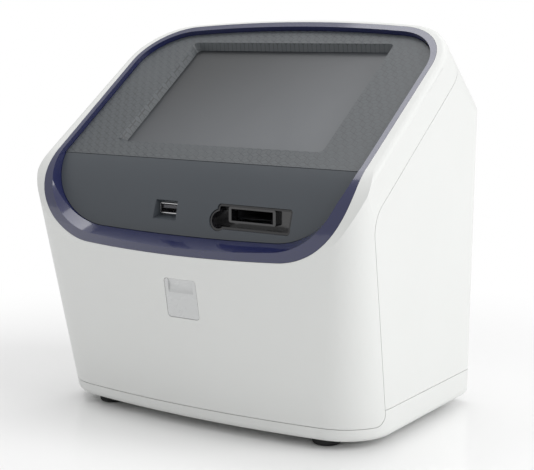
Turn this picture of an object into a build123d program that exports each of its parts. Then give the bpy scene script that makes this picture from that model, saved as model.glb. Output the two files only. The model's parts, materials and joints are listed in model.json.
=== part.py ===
"""Benchtop automated cell counter: a sloped touch screen console over a slide port.

Millimetres, +Z up, the screen side faces -Y.  The origin is on the bench, under the middle of the case.
"""
from build123d import *
from math import acos, asin, atan, cos, degrees, pi, radians, sin, sqrt, tan
import os

# Outer case
case_half_width = 114.3        # at the chin, the widest place
brow_half_width = 111.8        # at the top of the sloped face
base_half_width = 109.6        # front corners, at bench level
rear_base_half_width = 103.5   # rear corners, at bench level
rear_top_half_width = 112.5    # rear corners, extended to the loft top
flare_half_width = 119.4       # front corners, extended to the loft top
front_foot_y = -64.2           # middle of the front face, at the front seam
front_lean = 0.175             # the front face leans out this much per mm of height
front_bow_radius = 574.0       # the front face is bowed in plan
back_y = 79.0                  # flat rear face
base_corner_radius = 31.5      # front corners in plan, at bench level
top_corner_radius = 5.5        # the same corners, extended to the loft top
rear_base_radius = 8.0         # rear corners in plan, at bench level
rear_top_radius = 24.0         # rear corners, extended to the loft top
bottom_edge_radius = 5.0
loft_top = 240.0
chin_radius = 42.0             # the face rolls over the chin into the front
back_roll_radius = 85.0        # the top rolls down into the rear face
back_roll_lift = 1.0           # how far the rolled back clears the brow edge
back_roll_angle = 62.0
bottom_z = 4.6                 # underside of the base pan
wall = 2.8

# Sloped face
slope_deg = 36.46
hinge_y = -52.28               # dividing line between bezel and lower fascia
hinge_z = 150.99
rim_height = 3.0               # the case rim stands above the screen bezel
brow_s = 128.8                 # top of the case, measured up the slope
brow_crown_radius = 600.0
brow_corner_radius = 38.0
brow_draft = 0.17              # the crown opens out behind the rim
rim_edge_radius = 2.8
face_depth = 230.0

# Seams between the case parts
seam = 0.35
seam_behind_slope = 15.1       # front shell depth behind the rim plane
seam_foot_y = -33.2
seam_lean = 0.22
seam_knee_radius = 16.0
seam_heel_radius = 6.0
front_seam_z = 12.5
side_seam_z = 21.3
lip_wall = 1.4
lip_reach = 3.0
lip_gap = 0.2
lip_root = 4.2

# Trim ring round the face
trim_half_width = 106.9
trim_top_s = 125.7
trim_corner_radius = 36.0
trim_bottom_z = 101.4
trim_chin_radius = 43.0
chin_crown_radius = 1500.0
chin_reach = 12.0              # the chin outlines run up past the dividing line
trim_band = 3.3                # width of the flat band before the inner wall
trim_top_band = 4.5            # the same at the brow
shelf_rise = 1.0               # the shelf starts this much further in than the band
shelf_chin_radius = 40.0
trim_gap = 0.15
trim_depth = 4.6               # below the bezel face
ledge = 3.4
flange = 3.0
flange_wall = 2.0

# Screen bezel and display
bezel_wall = 2.2
bezel_gap = 0.3
screen_width = 144.0
screen_low_s = 13.0
screen_high_s = 108.5
screen_corner = 3.0
screen_bevel = 2.4
screen_depth = 4.6
screen_frame = 2.6
glass_margin = 3.0             # the glass reaches this far under the frame
glass_wall = 1.1
stack_gap = 0.2
module_margin = 5.0
module_wall = 6.0
bracket_wall = 1.2
bracket_ear_x = 88.0
bracket_ear_low_s = 22.0
bracket_ear_high_s = 97.0

# Screws, bosses and fits
boss_radius = 3.4
post_radius = 4.4
web_wall = 2.0
screw_radius = 1.2
pilot_radius = 1.25
clearance_radius = 1.7
head_radius = 2.8
head_height = 2.0
head_sink = 2.6                # depth of the head holes under the base
fit = 0.05

# Lower fascia, a curved sheet under the dividing line
fascia_radius = 74.0
fascia_start_deg = 50.0
fascia_wall = 2.2
fascia_bottom_z = 110.6
fascia_chin_radius = 45.0
divide_gap = 0.4

# Slide port
port_x = 44.5
port_z = 123.3
port_width = 49.0
port_height = 13.5
port_corner = 2.0
port_floor_y = -58.4
port_floor_wall = 2.4
port_wall = 1.2
port_gap = 0.15
port_flange = 2.6
port_recess = 0.6
finger_radius = 6.0
finger_inset = 1.7
finger_drop = 2.0
nose_width = 31.0
nose_height = 8.6
nose_proud = 3.0
slot_width = 26.2
slot_height = 5.0
slot_z = 123.9
funnel_width = 27.4
funnel_height = 6.5
rib_steps = 3
rib_reach = 9.0
rib_radius = 3.6
rib_pitch = 1.7
rib_rise = 1.1

# Slide carriage and its guide
axis_x = 40.0                  # optical axis, in the middle of the slot
axis_y = -16.0
carriage_travel = 10.0
carriage_width = 30.0
carriage_front_y = -55.0
carriage_back_y = 6.0
carriage_low_z = 119.0
carriage_floor = 2.6
carriage_side = 1.4
carriage_height = 6.0
window_width = 18.0
window_length = 34.0
guide_clear = 0.3
guide_wall = 2.2
guide_lip = 2.4
guide_front_y = -55.6
guide_stop_y = 21.0
guide_back_low_z = 115.0
guide_screw_x = 12.0
peg_radius = 1.6
peg_length = 1.5
spring_coil_radius = 2.6
spring_wire_radius = 0.4
spring_turns = 6

# Front USB port
usb_x = -15.5
usb_z = 124.5
usb_shell_width = 13.1
usb_shell_height = 5.7
usb_depth = 14.0
usb_wall = 0.4
usb_proud = 1.5
usb_mouth_width = 15.8
usb_mouth_height = 10.6
usb_mouth_y = -66.5
usb_floor_width = 14.2
usb_floor_height = 7.6
usb_floor_y = -61.5
usb_well_wall = 1.4
usb_clear = 0.15
usb_board_width = 32.0
usb_board_height = 16.0
usb_post_x = 12.5
usb_post_radius = 2.8
board_wall = 1.6

# Badge on the front
badge_width = 22.0
badge_height = 23.0
badge_x = 2.2
badge_z = 76.7
badge_corner = 2.0
badge_depth = 1.8
badge_gap = 0.25
badge_seat = 1.6
badge_floor = 1.4
badge_sink = 0.25
scoop_radius = 8.0
scoop_width = 17.0
scoop_drop = 4.0

# Feet and base
foot_radius = 8.0
foot_x = 77.0
foot_front_y = -43.0
foot_back_y = 60.0
foot_recess = 1.2
foot_clear = 0.2
foot_edge = 1.5
case_screw_x = 58.0
case_screw_front_y = -52.0
case_screw_back_y = 68.0
front_post_z = 15.0
back_post_z = 23.0
case_boss_height = 14.0
back_boss_height = 8.0
rib_x = 30.0
rib_top_z = 9.0
rib_wall = 1.2
vent_length = 30.0
vent_width = 2.6
vent_pitch = 6.0
vent_count = 8
rear_vent_z = 130.0
base_vent_x = -72.0
base_vent_y = 22.0

# Optical frame
frame_foot_z = 9.4
frame_foot_wall = 3.0
frame_front_y = -46.0
frame_back_y = 40.0
frame_corner = 5.0
frame_screw_inset = 5.0
frame_screw_length = 6.5
plate_y = 24.0
plate_wall = 4.0
plate_top_z = 156.0
plate_corner = 12.0
post_wall = 4.0
post_top_z = 56.0
post_front_y = -38.0
gusset_wall = 3.0
gusset_height = 48.0
gusset_inset = 8.0
hatch_half_width = 30.0
hatch_low_z = 44.0
hatch_high_z = 80.0

# Focus stage
focus_travel = 1.5
focus_lead = 1.0
objective_radius = 9.0
objective_shoulder = 10.5
objective_base_z = 88.0
objective_top_z = 116.0
objective_bore = 5.5
stage_z = 92.0
stage_wall = 6.0
stage_half_width = 20.0
stage_front_y = -28.0
stage_back_y = 16.0
guide_rod_radius = 2.0
guide_rod_x = 14.0
guide_rod_y = 3.0
bracket_low_z = 84.0
bracket_top_z = 114.0
bracket_arm = 3.5
bracket_front_y = -2.0
bracket_back_wall = 4.0
bracket_half_width = 20.0
lead_radius = 2.0
lead_y = 12.0
lead_end_gap = 0.3
focus_motor_radius = 7.0
focus_motor_height = 12.0

# Light cube changer
cube_pitch = 36.0
cube_size = 28.0
cube_height = 20.0
cube_bore = 9.0
cube_seat = 1.0
dichroic_wall = 1.0
dichroic_size = 20.0
led_board_width = 20.0
led_board_height = 16.0
led_radius = 3.0
slider_z = 42.0
slider_wall = 6.0
slider_half_depth = 22.0
slider_margin = 1.0
slider_rod_radius = 2.5
slider_rod_offset = 17.0
nut_length = 12.0
nut_back_y = 17.0
changer_lead = 6.0
changer_motor_radius = 9.0
changer_motor_length = 20.0

# Fold mirror, tube lens and camera
fold_z = 27.0
mount_half = 13.0
mount_top_z = 40.0
mount_floor = 3.0
mount_cheek = 3.0
mount_ear = 7.0
mirror_wall = 2.0
mirror_length = 22.0
mirror_half_width = 9.5
light_bore = 8.5
tube_radius = 11.0
tube_wall = 1.6
tube_end_x = -24.0
tube_lens_x = 0.0
tube_lens_wall = 4.0
camera_board_size = 28.0
sensor_size = 12.0

# Bright field lamp
lamp_radius = 12.0
lamp_low_z = 131.0
lamp_high_z = 150.0
lamp_wall = 3.0
lamp_roof = 4.0
lamp_arm_half = 6.0
lamp_arm_low_z = 140.0
lamp_arm_high_z = 146.0
lamp_foot_half = 9.0
lens_height = 4.0

# Rear door
door_x = 40.0
door_z = 62.0
door_width = 62.0
door_height = 46.0
door_corner = 4.0
door_gap = 0.5
door_frame = 5.0
door_frame_wall = 3.0
door_stop = 1.5
door_bead_radius = 2.6
door_scoop_radius = 14.0
door_scoop_depth = 1.3
door_scoop_drop = 8.0
hinge_pin_radius = 1.0
hinge_pin_hold = 3.5

# Switch and inlet on the rear face
switch_x = -80.0
switch_z = 44.0
switch_width = 13.0
switch_height = 19.4
switch_flange = 1.6
switch_flange_wall = 1.2
switch_depth = 15.0
blade_width = 4.8
blade_wall = 0.8
blade_length = 8.0
blade_z = 5.0
rocker_width = 9.0
rocker_radius = 7.2
rocker_clear = 0.3
rocker_tilt = 8.0
rocker_dip = 1.5
trunnion_radius = 1.0
trunnion_length = 1.2
inlet_x = -50.0
inlet_z = 44.0
inlet_radius = 5.5
inlet_flange_radius = 7.0
inlet_flange_wall = 1.2
inlet_bore = 3.1
inlet_bore_depth = 10.0
inlet_pin = 1.0
inlet_depth = 13.0
nut_radius = 7.6
nut_wall = 2.4

# Main board
board_left_x = -92.0
board_right_x = -22.0
board_low_z = 64.0
board_high_z = 146.0
board_y = 60.0
board_hole = 4.0
chip_size = 18.0
sink_size = 24.0
sink_height = 7.0
sink_fins = 6
sink_base = 2.0

SLOPE = Plane(origin=(0, hinge_y, hinge_z), x_dir=(1, 0, 0),
              z_dir=(0, -sin(radians(slope_deg)), cos(radians(slope_deg))))


def block(x0, x1, y0, y1, z0, z1):
    """A box between two corners."""
    return Pos((x0 + x1) / 2, (y0 + y1) / 2, (z0 + z1) / 2) * Box(x1 - x0, y1 - y0, z1 - z0)


def along_z(x, y, z0, z1, radius):
    """A cylinder along Z."""
    return Pos(x, y, (z0 + z1) / 2) * Cylinder(radius, z1 - z0)


def along_y(x, z, y0, y1, radius):
    """A cylinder along Y."""
    return Pos(x, (y0 + y1) / 2, z) * Rot(90, 0, 0) * Cylinder(radius, y1 - y0)


def along_x(y, z, x0, x1, radius):
    """A cylinder along X."""
    return Pos((x0 + x1) / 2, y, z) * Rot(0, 90, 0) * Cylinder(radius, x1 - x0)


def on_slope(x, s, n):
    """A point given across, up and out of the sloped face."""
    return SLOPE.from_local_coords(Vector(x, s, n))


def slope_block(x0, x1, s0, s1, n0, n1):
    """A box in the axes of the sloped face."""
    return SLOPE.location * block(x0, x1, s0, s1, n0, n1)


def group(*solids):
    """Several separate solids in one node."""
    return Compound(children=list(solids))


# Outlines

def face_outline(half_low, half_high, top_s, corner, low_s):
    """Crowned outline of the sloped face, in its own plane."""
    sag = half_high ** 2 / (2 * brow_crown_radius)
    with BuildSketch() as sketch:
        with BuildLine():
            Polyline((-half_low, low_s), (-half_low, 0), (-half_high, top_s - sag))
            ThreePointArc((-half_high, top_s - sag), (0, top_s), (half_high, top_s - sag))
            Polyline((half_high, top_s - sag), (half_low, 0), (half_low, low_s), (-half_low, low_s))
        make_face()
        fillet(sketch.vertices().group_by(Axis.Y)[-1], corner)
    return sketch.sketch


def chin_outline(half, bottom_z_value, corner, top_z):
    """Smile shaped outline of the chin, seen from the front."""
    sag = half ** 2 / (2 * chin_crown_radius)
    with BuildSketch() as sketch:
        with BuildLine():
            ThreePointArc((-half, bottom_z_value + sag), (0, bottom_z_value), (half, bottom_z_value + sag))
            Polyline((half, bottom_z_value + sag), (half, top_z), (-half, top_z),
                     (-half, bottom_z_value + sag))
        make_face()
        fillet(sketch.vertices().group_by(Axis.Y)[0], corner)
    return sketch.sketch


def front_y(z, inset):
    """Middle of the front face at a height."""
    return front_foot_y - front_lean * (z - front_seam_z) + inset


def bow_sag(half):
    """How far the bowed front falls back at the sides."""
    return front_bow_radius - sqrt(front_bow_radius ** 2 - half ** 2)


# Outer form of the case

def bowed_slab(z, inset):
    """Plan of the bowed front, wider than the case."""
    half = case_half_width + 10
    y = front_y(z, inset)
    rear = back_y + 40
    with BuildSketch(Plane.XY.offset(z)) as sketch:
        with BuildLine():
            ThreePointArc((-half, y + bow_sag(half)), (0, y), (half, y + bow_sag(half)))
            Polyline((half, y + bow_sag(half)), (half, rear), (-half, rear), (-half, y + bow_sag(half)))
        make_face()
    return sketch.sketch


def case_plan(z, inset, skim):
    """Rounded plan of the case at a height."""
    t = z / loft_top
    front_half = base_half_width + (flare_half_width - base_half_width) * t - inset
    rear_half = rear_base_half_width + (rear_top_half_width - rear_base_half_width) * t - inset
    front_corner = max(base_corner_radius + (top_corner_radius - base_corner_radius) * t - inset, 1.0)
    rear_corner = rear_base_radius + (rear_top_radius - rear_base_radius) * t - inset
    y = front_y(z, inset) - skim
    rear = back_y - inset + skim
    with BuildSketch(Plane.XY.offset(z)) as sketch:
        with BuildLine():
            ThreePointArc((-front_half, y + bow_sag(front_half)), (0, y),
                          (front_half, y + bow_sag(front_half)))
            Polyline((front_half, y + bow_sag(front_half)), (rear_half, rear), (-rear_half, rear),
                     (-front_half, y + bow_sag(front_half)))
        make_face()
        fillet(sketch.vertices().group_by(Axis.Y)[0], front_corner)
        fillet(sketch.vertices().filter_by(lambda v: v.Y > rear - 1), rear_corner)
    return sketch.sketch


def side_form(inset):
    """Side profile that carries the rolled back and the flat underside."""
    radius = back_roll_radius - inset
    rear = back_y - inset
    edge = on_slope(0, brow_s + back_roll_lift, rim_height)
    centre_y = rear - radius
    centre_z = edge.Z - sqrt(back_roll_radius ** 2 - (edge.Y - centre_y) ** 2)
    angle = radians(back_roll_angle)
    middle = (centre_y + radius * cos(angle / 2), centre_z + radius * sin(angle / 2))
    end = (centre_y + radius * cos(angle), centre_z + radius * sin(angle))
    over = (end[0] - radius * sin(angle), end[1] + radius * cos(angle))
    low = bottom_z + inset
    far = -case_half_width - 50
    with BuildSketch(Plane.YZ) as sketch:
        with BuildLine():
            Polyline((far, low), (rear, low), (rear, centre_z))
            ThreePointArc((rear, centre_z), middle, end)
            Polyline(end, over, (far, over[1]), (far, low))
        make_face()
    return extrude(sketch.sketch, case_half_width + 40, both=True)


def case_form(inset=0.0):
    """Outer form of the whole case, moved inwards by inset."""
    skim = 0.03
    low_s = -face_depth / 1.5
    head = loft([SLOPE.offset(rim_height - inset)
                 * face_outline(case_half_width - inset, brow_half_width - inset, brow_s - inset,
                                brow_corner_radius - inset, low_s),
                 SLOPE.offset(rim_height - face_depth)
                 * face_outline(case_half_width - inset, brow_half_width + 3 - inset,
                                brow_s - inset + brow_draft * (face_depth - inset),
                                brow_corner_radius - inset, low_s)], ruled=True)
    if inset < rim_edge_radius / 2:
        rim = head.faces().sort_by(Axis((0, 0, 0), SLOPE.z_dir))[-1]
        head = fillet(rim.edges().filter_by(lambda e: (e @ 0.5).Z > hinge_z / 2), rim_edge_radius)
    front = loft([bowed_slab(0, inset), bowed_slab(loft_top, inset)], ruled=True)
    front -= extrude(SLOPE.offset(rim_height - inset + skim) * Rectangle(500, 700), face_depth)
    chin = front.edges().filter_by(lambda e: abs((e @ 0.5).X) < 1 and (e @ 0.5).Y < hinge_y
                                   and hinge_z / 2 < (e @ 0.5).Z < hinge_z + 10)
    front = fillet(chin, chin_radius - inset)
    low = bottom_z + inset
    plan = loft([case_plan(low, inset, skim), case_plan(loft_top, inset, skim)], ruled=True)
    sole = plan.faces().sort_by(Axis.Z)[0]
    plan = fillet(sole.edges(), max(bottom_edge_radius - inset, 1.0))
    return (head & front & plan & side_form(inset)).solid()


# Regions that the seams divide

def front_region(shift=0.0):
    """Everything in front of the side seam, which is moved forward by shift."""
    slope = tan(radians(slope_deg))
    offset = (seam_behind_slope - shift) / cos(radians(slope_deg))
    foot_y = seam_foot_y - shift
    low = front_seam_z + shift
    knee_z = ((hinge_z - offset) + slope * (foot_y - hinge_y) + slope * seam_lean * front_seam_z) \
        / (1 + slope * seam_lean)
    knee_y = foot_y - seam_lean * (knee_z - front_seam_z)
    top = (knee_y + 200, knee_z + 200 * slope)
    heel = (foot_y - seam_lean * (low - front_seam_z), low)
    far = -case_half_width - 60
    with BuildSketch(Plane.YZ) as sketch:
        with BuildLine():
            Polyline(top, (knee_y, knee_z), heel, (far, low), (far, top[1] + 60), (top[0], top[1] + 60), top)
        make_face()
        fillet(sketch.vertices().filter_by(lambda v: abs(v.Y - knee_z) < 0.01), seam_knee_radius)
        fillet(sketch.vertices().filter_by(lambda v: abs(v.X - heel[0]) < 0.01), seam_heel_radius)
    return extrude(sketch.sketch, case_half_width + 30, both=True)


def base_region(shift=0.0):
    """Everything under the seam of the base pan."""
    reach = case_half_width + 30
    low = block(-reach, reach, -reach, reach, -10, front_seam_z - shift)
    side = block(-reach, reach, seam_foot_y - 30, reach, -10, side_seam_z - shift)
    return low + side


def face_region(grow):
    """Prism of the face opening: the slope's outline and the chin's outline."""
    slope_part = extrude(SLOPE.offset(20) * face_outline(trim_half_width + grow, trim_half_width + grow,
                                                         trim_top_s + grow, trim_corner_radius + grow, -3),
                         -50)
    chin_part = extrude(Plane.XZ.offset(-hinge_y + 45)
                        * chin_outline(trim_half_width + grow, trim_bottom_z - grow,
                                       trim_chin_radius + grow, hinge_z + 4), -65)
    return slope_part + chin_part


FASCIA_CENTRE_Y = hinge_y + fascia_radius * sin(radians(fascia_start_deg))
FASCIA_CENTRE_Z = hinge_z - fascia_radius * cos(radians(fascia_start_deg))


def fascia_roll(depth):
    """Cylinder that the lower fascia is bent on."""
    return along_x(FASCIA_CENTRE_Y, FASCIA_CENTRE_Z, -case_half_width, case_half_width,
                      fascia_radius - depth)


OPEN_HALF = trim_half_width - trim_band
OPEN_TOP_S = trim_top_s - trim_top_band
OPEN_CORNER = trim_corner_radius - trim_band


def slope_prism(grow, n0, n1, low_s):
    """Prism of the bezel opening in the trim ring."""
    return extrude(SLOPE.offset(n0) * face_outline(OPEN_HALF + grow, OPEN_HALF + grow, OPEN_TOP_S + grow,
                                                   OPEN_CORNER + grow, low_s), n1 - n0)


def chin_prism(grow, y0, y1):
    """Prism of the lower fascia's outline, along Y."""
    outline = chin_outline(OPEN_HALF + grow, fascia_bottom_z - grow, fascia_chin_radius + grow,
                           hinge_z + chin_reach)
    return extrude(Plane.XZ.offset(-y0) * outline, -(y1 - y0))


def below_divide():
    """Everything below the dividing line, seen across the slope."""
    reach = 2 * case_half_width
    return slope_block(-reach, reach, -reach, 0, -reach, reach)


def shelf_void():
    """The scoop in front of the lower fascia, whose floor is the trim's glossy shelf."""
    rim_z = trim_bottom_z + trim_band + shelf_rise
    front = front_y(rim_z, 0) - 4
    foot = FASCIA_CENTRE_Y - sqrt(fascia_radius ** 2 - (fascia_bottom_z - FASCIA_CENTRE_Z) ** 2)
    low = rim_z - 4 * (fascia_bottom_z - rim_z) / (foot - front - 4)
    top = hinge_z + chin_reach
    scoop = loft([Plane.XZ.offset(-front) * chin_outline(OPEN_HALF, low, shelf_chin_radius, top),
                  Plane.XZ.offset(-foot) * chin_outline(OPEN_HALF, fascia_bottom_z, fascia_chin_radius, top)],
                 ruled=True)
    return (scoop + chin_prism(0, foot - 0.01, hinge_y + chin_reach)) & below_divide()


# Shared hardware

def tapped_boss(x, y, z0, z1, radius=boss_radius):
    """A boss along Z with a pilot hole."""
    return along_z(x, y, z0, z1, radius) - along_z(x, y, z0, z1 + 1, pilot_radius)


def screw_z(x, y, seat_z, length):
    """A pan head screw along Z; a negative length points it down."""
    way = 1 if length > 0 else -1
    head = along_z(x, y, *sorted((seat_z - way * head_height, seat_z)), head_radius)
    return head + along_z(x, y, *sorted((seat_z, seat_z + length)), screw_radius)


def screw_y(x, z, seat_y, length):
    """A pan head screw along Y; a negative length points it forwards."""
    way = 1 if length > 0 else -1
    head = along_y(x, z, *sorted((seat_y - way * head_height, seat_y)), head_radius)
    return head + along_y(x, z, *sorted((seat_y, seat_y + length)), screw_radius)


def upright(x, z, width, height, corner, y0, y1):
    """A rounded prism along Y."""
    plane = Plane(origin=(x, y0, z), x_dir=(1, 0, 0), z_dir=(0, 1, 0))
    return extrude(plane * RectangleRounded(width, height, corner), y1 - y0)


# Places

def foot_places():
    """The four feet."""
    return [(x, y) for x in (-foot_x, foot_x) for y in (foot_front_y, foot_back_y)]


def frame_left_x():
    """Left end of the optical frame, past the changer motor."""
    return left_post_x() - changer_motor_length


def left_post_x():
    """Outer face of the left post."""
    return slider_left_x() - slider_margin - post_wall


def slider_left_x():
    """Left end of the cube slider at rest."""
    return axis_x - cube_pitch - cube_size / 2 - slider_margin


def slider_right_x():
    """Right end of the cube slider at rest."""
    return axis_x + cube_size / 2 + slider_margin


def frame_right_x():
    """Outer face of the right post, past the slider's travel."""
    return slider_right_x() + cube_pitch + slider_margin + post_wall


def frame_places():
    """The four screws of the optical frame."""
    inset = frame_screw_inset
    return [(x, y) for x in (frame_left_x() + inset, frame_right_x() - inset)
            for y in (frame_front_y + inset, frame_back_y - inset)]


def mount_places():
    """The two screws of the mirror mount."""
    reach = mount_half + mount_ear / 2
    return [(axis_x, axis_y - reach), (axis_x, axis_y + reach)]


def plate_places():
    """The screws in the upright plate: guide, focus bracket and lamp arm, as x and z."""
    guide_z = carriage_low_z + carriage_height / 2
    bracket_z = (bracket_low_z + bracket_top_z) / 2
    lamp_z = (lamp_arm_low_z + lamp_arm_high_z) / 2
    spots = [(axis_x + side * guide_screw_x, guide_z) for side in (-1, 1)]
    spots += [(axis_x + side * guide_screw_x, bracket_z) for side in (-1, 1)]
    spots += [(axis_x + side * lamp_arm_half, lamp_z) for side in (-1, 1)]
    return spots


def board_places():
    """The four screws of the main board, as x and z."""
    return [(x, z) for x in (board_left_x + board_hole, board_right_x - board_hole)
            for z in (board_low_z + board_hole, board_high_z - board_hole)]


def bezel_places():
    """The four screws of the display bracket, across and up the slope."""
    return [(x, s) for x in (-bracket_ear_x, bracket_ear_x) for s in (bracket_ear_low_s, bracket_ear_high_s)]


# Case parts

def front_shell():
    """Front moulding: rim of the face, chin, front and the two side lips."""
    shell = (OUTER - INNER) & front_region(seam / 2)
    shell -= face_region(0)
    seat = on_badge(badge_width + 2 * badge_seat, badge_height + 2 * badge_seat, badge_corner,
                    -badge_depth - badge_floor, -wall / 2)
    shell += seat & OUTER
    shell -= on_badge(badge_width, badge_height, badge_corner, -badge_depth, wall)
    top = front_post_z + case_boss_height
    for x in (-case_screw_x, case_screw_x):
        web = block(x - web_wall / 2, x + web_wall / 2, front_y(top, 0) - wall, case_screw_front_y,
                    front_post_z, top)
        boss = along_z(x, case_screw_front_y, front_post_z, top, post_radius)
        shell += (boss + web) & OUTER
        shell -= along_z(x, case_screw_front_y, front_post_z - 1, top - 2, pilot_radius)
    return shell


def on_badge(width, height, corner, n0, n1):
    """A rounded plate in the axes of the badge, which lies on the leaning front face."""
    lean = atan(front_lean)
    plane = Plane(origin=(badge_x, front_y(badge_z, 0), badge_z), x_dir=(1, 0, 0),
                  z_dir=(0, -cos(lean), -sin(lean)))
    return extrude(plane.offset(n0) * RectangleRounded(width, height, corner), n1 - n0)


def badge_plate():
    """Bare badge plate with a scooped upper edge."""
    plate = on_badge(badge_width - 2 * badge_gap, badge_height - 2 * badge_gap, badge_corner - badge_gap,
                     -badge_depth, -badge_sink)
    lean = degrees(atan(front_lean))
    scoop = Pos(badge_x, front_y(badge_z, 0), badge_z) * Rot(lean, 0, 0) \
        * Pos(0, -scoop_radius + badge_depth - 0.4, badge_height / 2 - scoop_drop) * Rot(0, 90, 0) \
        * Cylinder(scoop_radius, scoop_width)
    return plate - scoop


def rear_shell():
    """Rear moulding: top, back and sides, with a tongue that runs inside the front moulding."""
    reach = case_half_width + 40
    rear = block(-reach, reach, -reach, reach, 0, loft_top) - front_region(-seam / 2) \
        - base_region(-seam / 2)
    above = block(-reach, reach, -reach, reach, side_seam_z + lip_reach, loft_top)
    inside = case_form(wall + lip_gap + lip_wall)
    tongue = (case_form(wall + lip_gap) - inside) & (front_region(-lip_root) - front_region(lip_reach))
    root = (case_form(wall - lip_gap) - inside) & (front_region(-lip_root) - front_region(-lip_root / 2))
    shell = ((OUTER - INNER) & rear) + ((tongue + root) & above)
    inner_y = back_y - wall
    for x, z in board_places():
        shell += along_y(x, z, board_y, inner_y + wall / 2, boss_radius)
        shell -= along_y(x, z, board_y - 1, inner_y, pilot_radius)
    top = back_post_z + back_boss_height
    for x in (-case_screw_x, case_screw_x):
        shell += along_z(x, case_screw_back_y, back_post_z, top, post_radius)
        shell += block(x - web_wall / 2, x + web_wall / 2, case_screw_back_y + pilot_radius + 1,
                       inner_y + wall / 2, back_post_z, top)
        shell -= along_z(x, case_screw_back_y, back_post_z - 1, top - 1, pilot_radius)
    shell += upright(door_x, door_z, door_width + 2 * door_frame, door_height + 2 * door_frame,
                     door_corner + door_frame, inner_y - door_frame_wall, inner_y + wall / 2)
    return shell - rear_openings()


def rear_openings():
    """Door opening with its stops, switch and inlet holes and the vent slots."""
    outside = back_y + wall
    inside = back_y - wall - door_frame_wall - 1
    cut = upright(door_x, door_z, door_width + 2 * door_gap, door_height + 2 * door_gap,
                  door_corner + door_gap, back_y - wall - fit, outside)
    cut += upright(door_x, door_z, door_width - 2 * door_stop, door_height - 2 * door_stop,
                   door_corner - door_stop, inside, outside)
    half = door_width / 2 + door_gap
    reach = door_bead_radius + door_gap
    cut += block(door_x - half, door_x + half, inside, outside, hinge_z_axis() - reach,
                 hinge_z_axis() + reach)
    hold = half + hinge_pin_hold
    cut += along_x(hinge_y_axis(), hinge_z_axis(), door_x - hold, door_x + hold, hinge_pin_radius + fit)
    cut += block(switch_x - switch_width / 2 - fit, switch_x + switch_width / 2 + fit, inside, outside,
                 switch_z - switch_height / 2 - fit, switch_z + switch_height / 2 + fit)
    cut += along_y(inlet_x, inlet_z, inside, outside, inlet_radius + fit)
    for i in range(vent_count):
        x = door_x + (i - (vent_count - 1) / 2) * vent_pitch
        cut += upright(x, rear_vent_z, vent_width, vent_length, vent_width / 2 - fit, inside, outside)
    return cut


def hinge_y_axis():
    """Depth of the door hinge: its bead is flush with the rear face."""
    return back_y - door_bead_radius


def hinge_z_axis():
    """Height of the door hinge, in the bead at the foot of the door."""
    return door_z - door_height / 2 + door_bead_radius


def rear_door():
    """Light cube door with a hinge bead at its foot and a finger scoop near its head."""
    half = door_width / 2
    door = upright(door_x, door_z, door_width, door_height, door_corner, back_y - wall, back_y)
    door -= block(door_x - half - 1, door_x + half + 1, back_y - wall - 1, back_y + 1,
                  door_z - door_height / 2 - 1, hinge_z_axis())
    door += along_x(hinge_y_axis(), hinge_z_axis(), door_x - half, door_x + half, door_bead_radius)
    door -= along_x(hinge_y_axis(), hinge_z_axis(), door_x - half - 1, door_x + half + 1,
                    hinge_pin_radius + fit)
    scoop_z = door_z + door_height / 2 - door_scoop_drop
    return door - Pos(door_x, back_y + door_scoop_radius - door_scoop_depth, scoop_z) * Sphere(door_scoop_radius)


def hinge_pin():
    """The pin that the door swings on."""
    hold = door_width / 2 + door_gap + hinge_pin_hold - fit
    return along_x(hinge_y_axis(), hinge_z_axis(), door_x - hold, door_x + hold, hinge_pin_radius)


def base_pan():
    """Base tray with foot recesses, posts, ribs and vents."""
    pan = (OUTER - INNER) & (base_region(seam / 2) - front_region(-seam / 2))
    floor = bottom_z + wall
    for x in (-rib_x, 0, rib_x):
        pan += block(x - rib_wall / 2, x + rib_wall / 2, case_screw_front_y, case_screw_back_y,
                     floor - wall / 2, rib_top_z)
    for x, y in foot_places():
        pan -= along_z(x, y, 0, bottom_z + foot_recess, foot_radius + foot_clear)
    for x, y in frame_places():
        pan += along_z(x, y, floor - wall / 2, frame_foot_z, boss_radius)
        pan -= along_z(x, y, bottom_z + wall / 3, frame_foot_z + 1, pilot_radius)
    for x in (-case_screw_x, case_screw_x):
        for y, top in ((case_screw_front_y, front_post_z), (case_screw_back_y, back_post_z)):
            pan += along_z(x, y, floor - wall / 2, top, post_radius)
            pan -= along_z(x, y, 0, top + 1, clearance_radius)
            pan -= along_z(x, y, 0, bottom_z + head_sink, head_radius + 0.5)
    for i in range(vent_count):
        x = base_vent_x + (i - (vent_count - 1) / 2) * vent_pitch
        pan -= block(x - vent_width / 2, x + vent_width / 2, base_vent_y - vent_length / 2,
                     base_vent_y + vent_length / 2, 0, floor + 1)
    return pan


def case_screws():
    """Four screws that go up through the base pan into the two mouldings."""
    seat = bottom_z + head_sink
    screws = []
    for x in (-case_screw_x, case_screw_x):
        screws.append(screw_z(x, case_screw_front_y, seat, front_post_z + case_boss_height - 4 - seat))
        screws.append(screw_z(x, case_screw_back_y, seat, back_post_z + back_boss_height - 2 - seat))
    return group(*screws)


def rubber_feet():
    """Four rubber feet with a rounded lower edge."""
    feet = []
    for x, y in foot_places():
        foot = along_z(x, y, 0, bottom_z + foot_recess, foot_radius)
        feet.append(fillet(foot.edges().group_by(Axis.Z)[0], foot_edge))
    return group(*feet)


# Face parts

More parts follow.
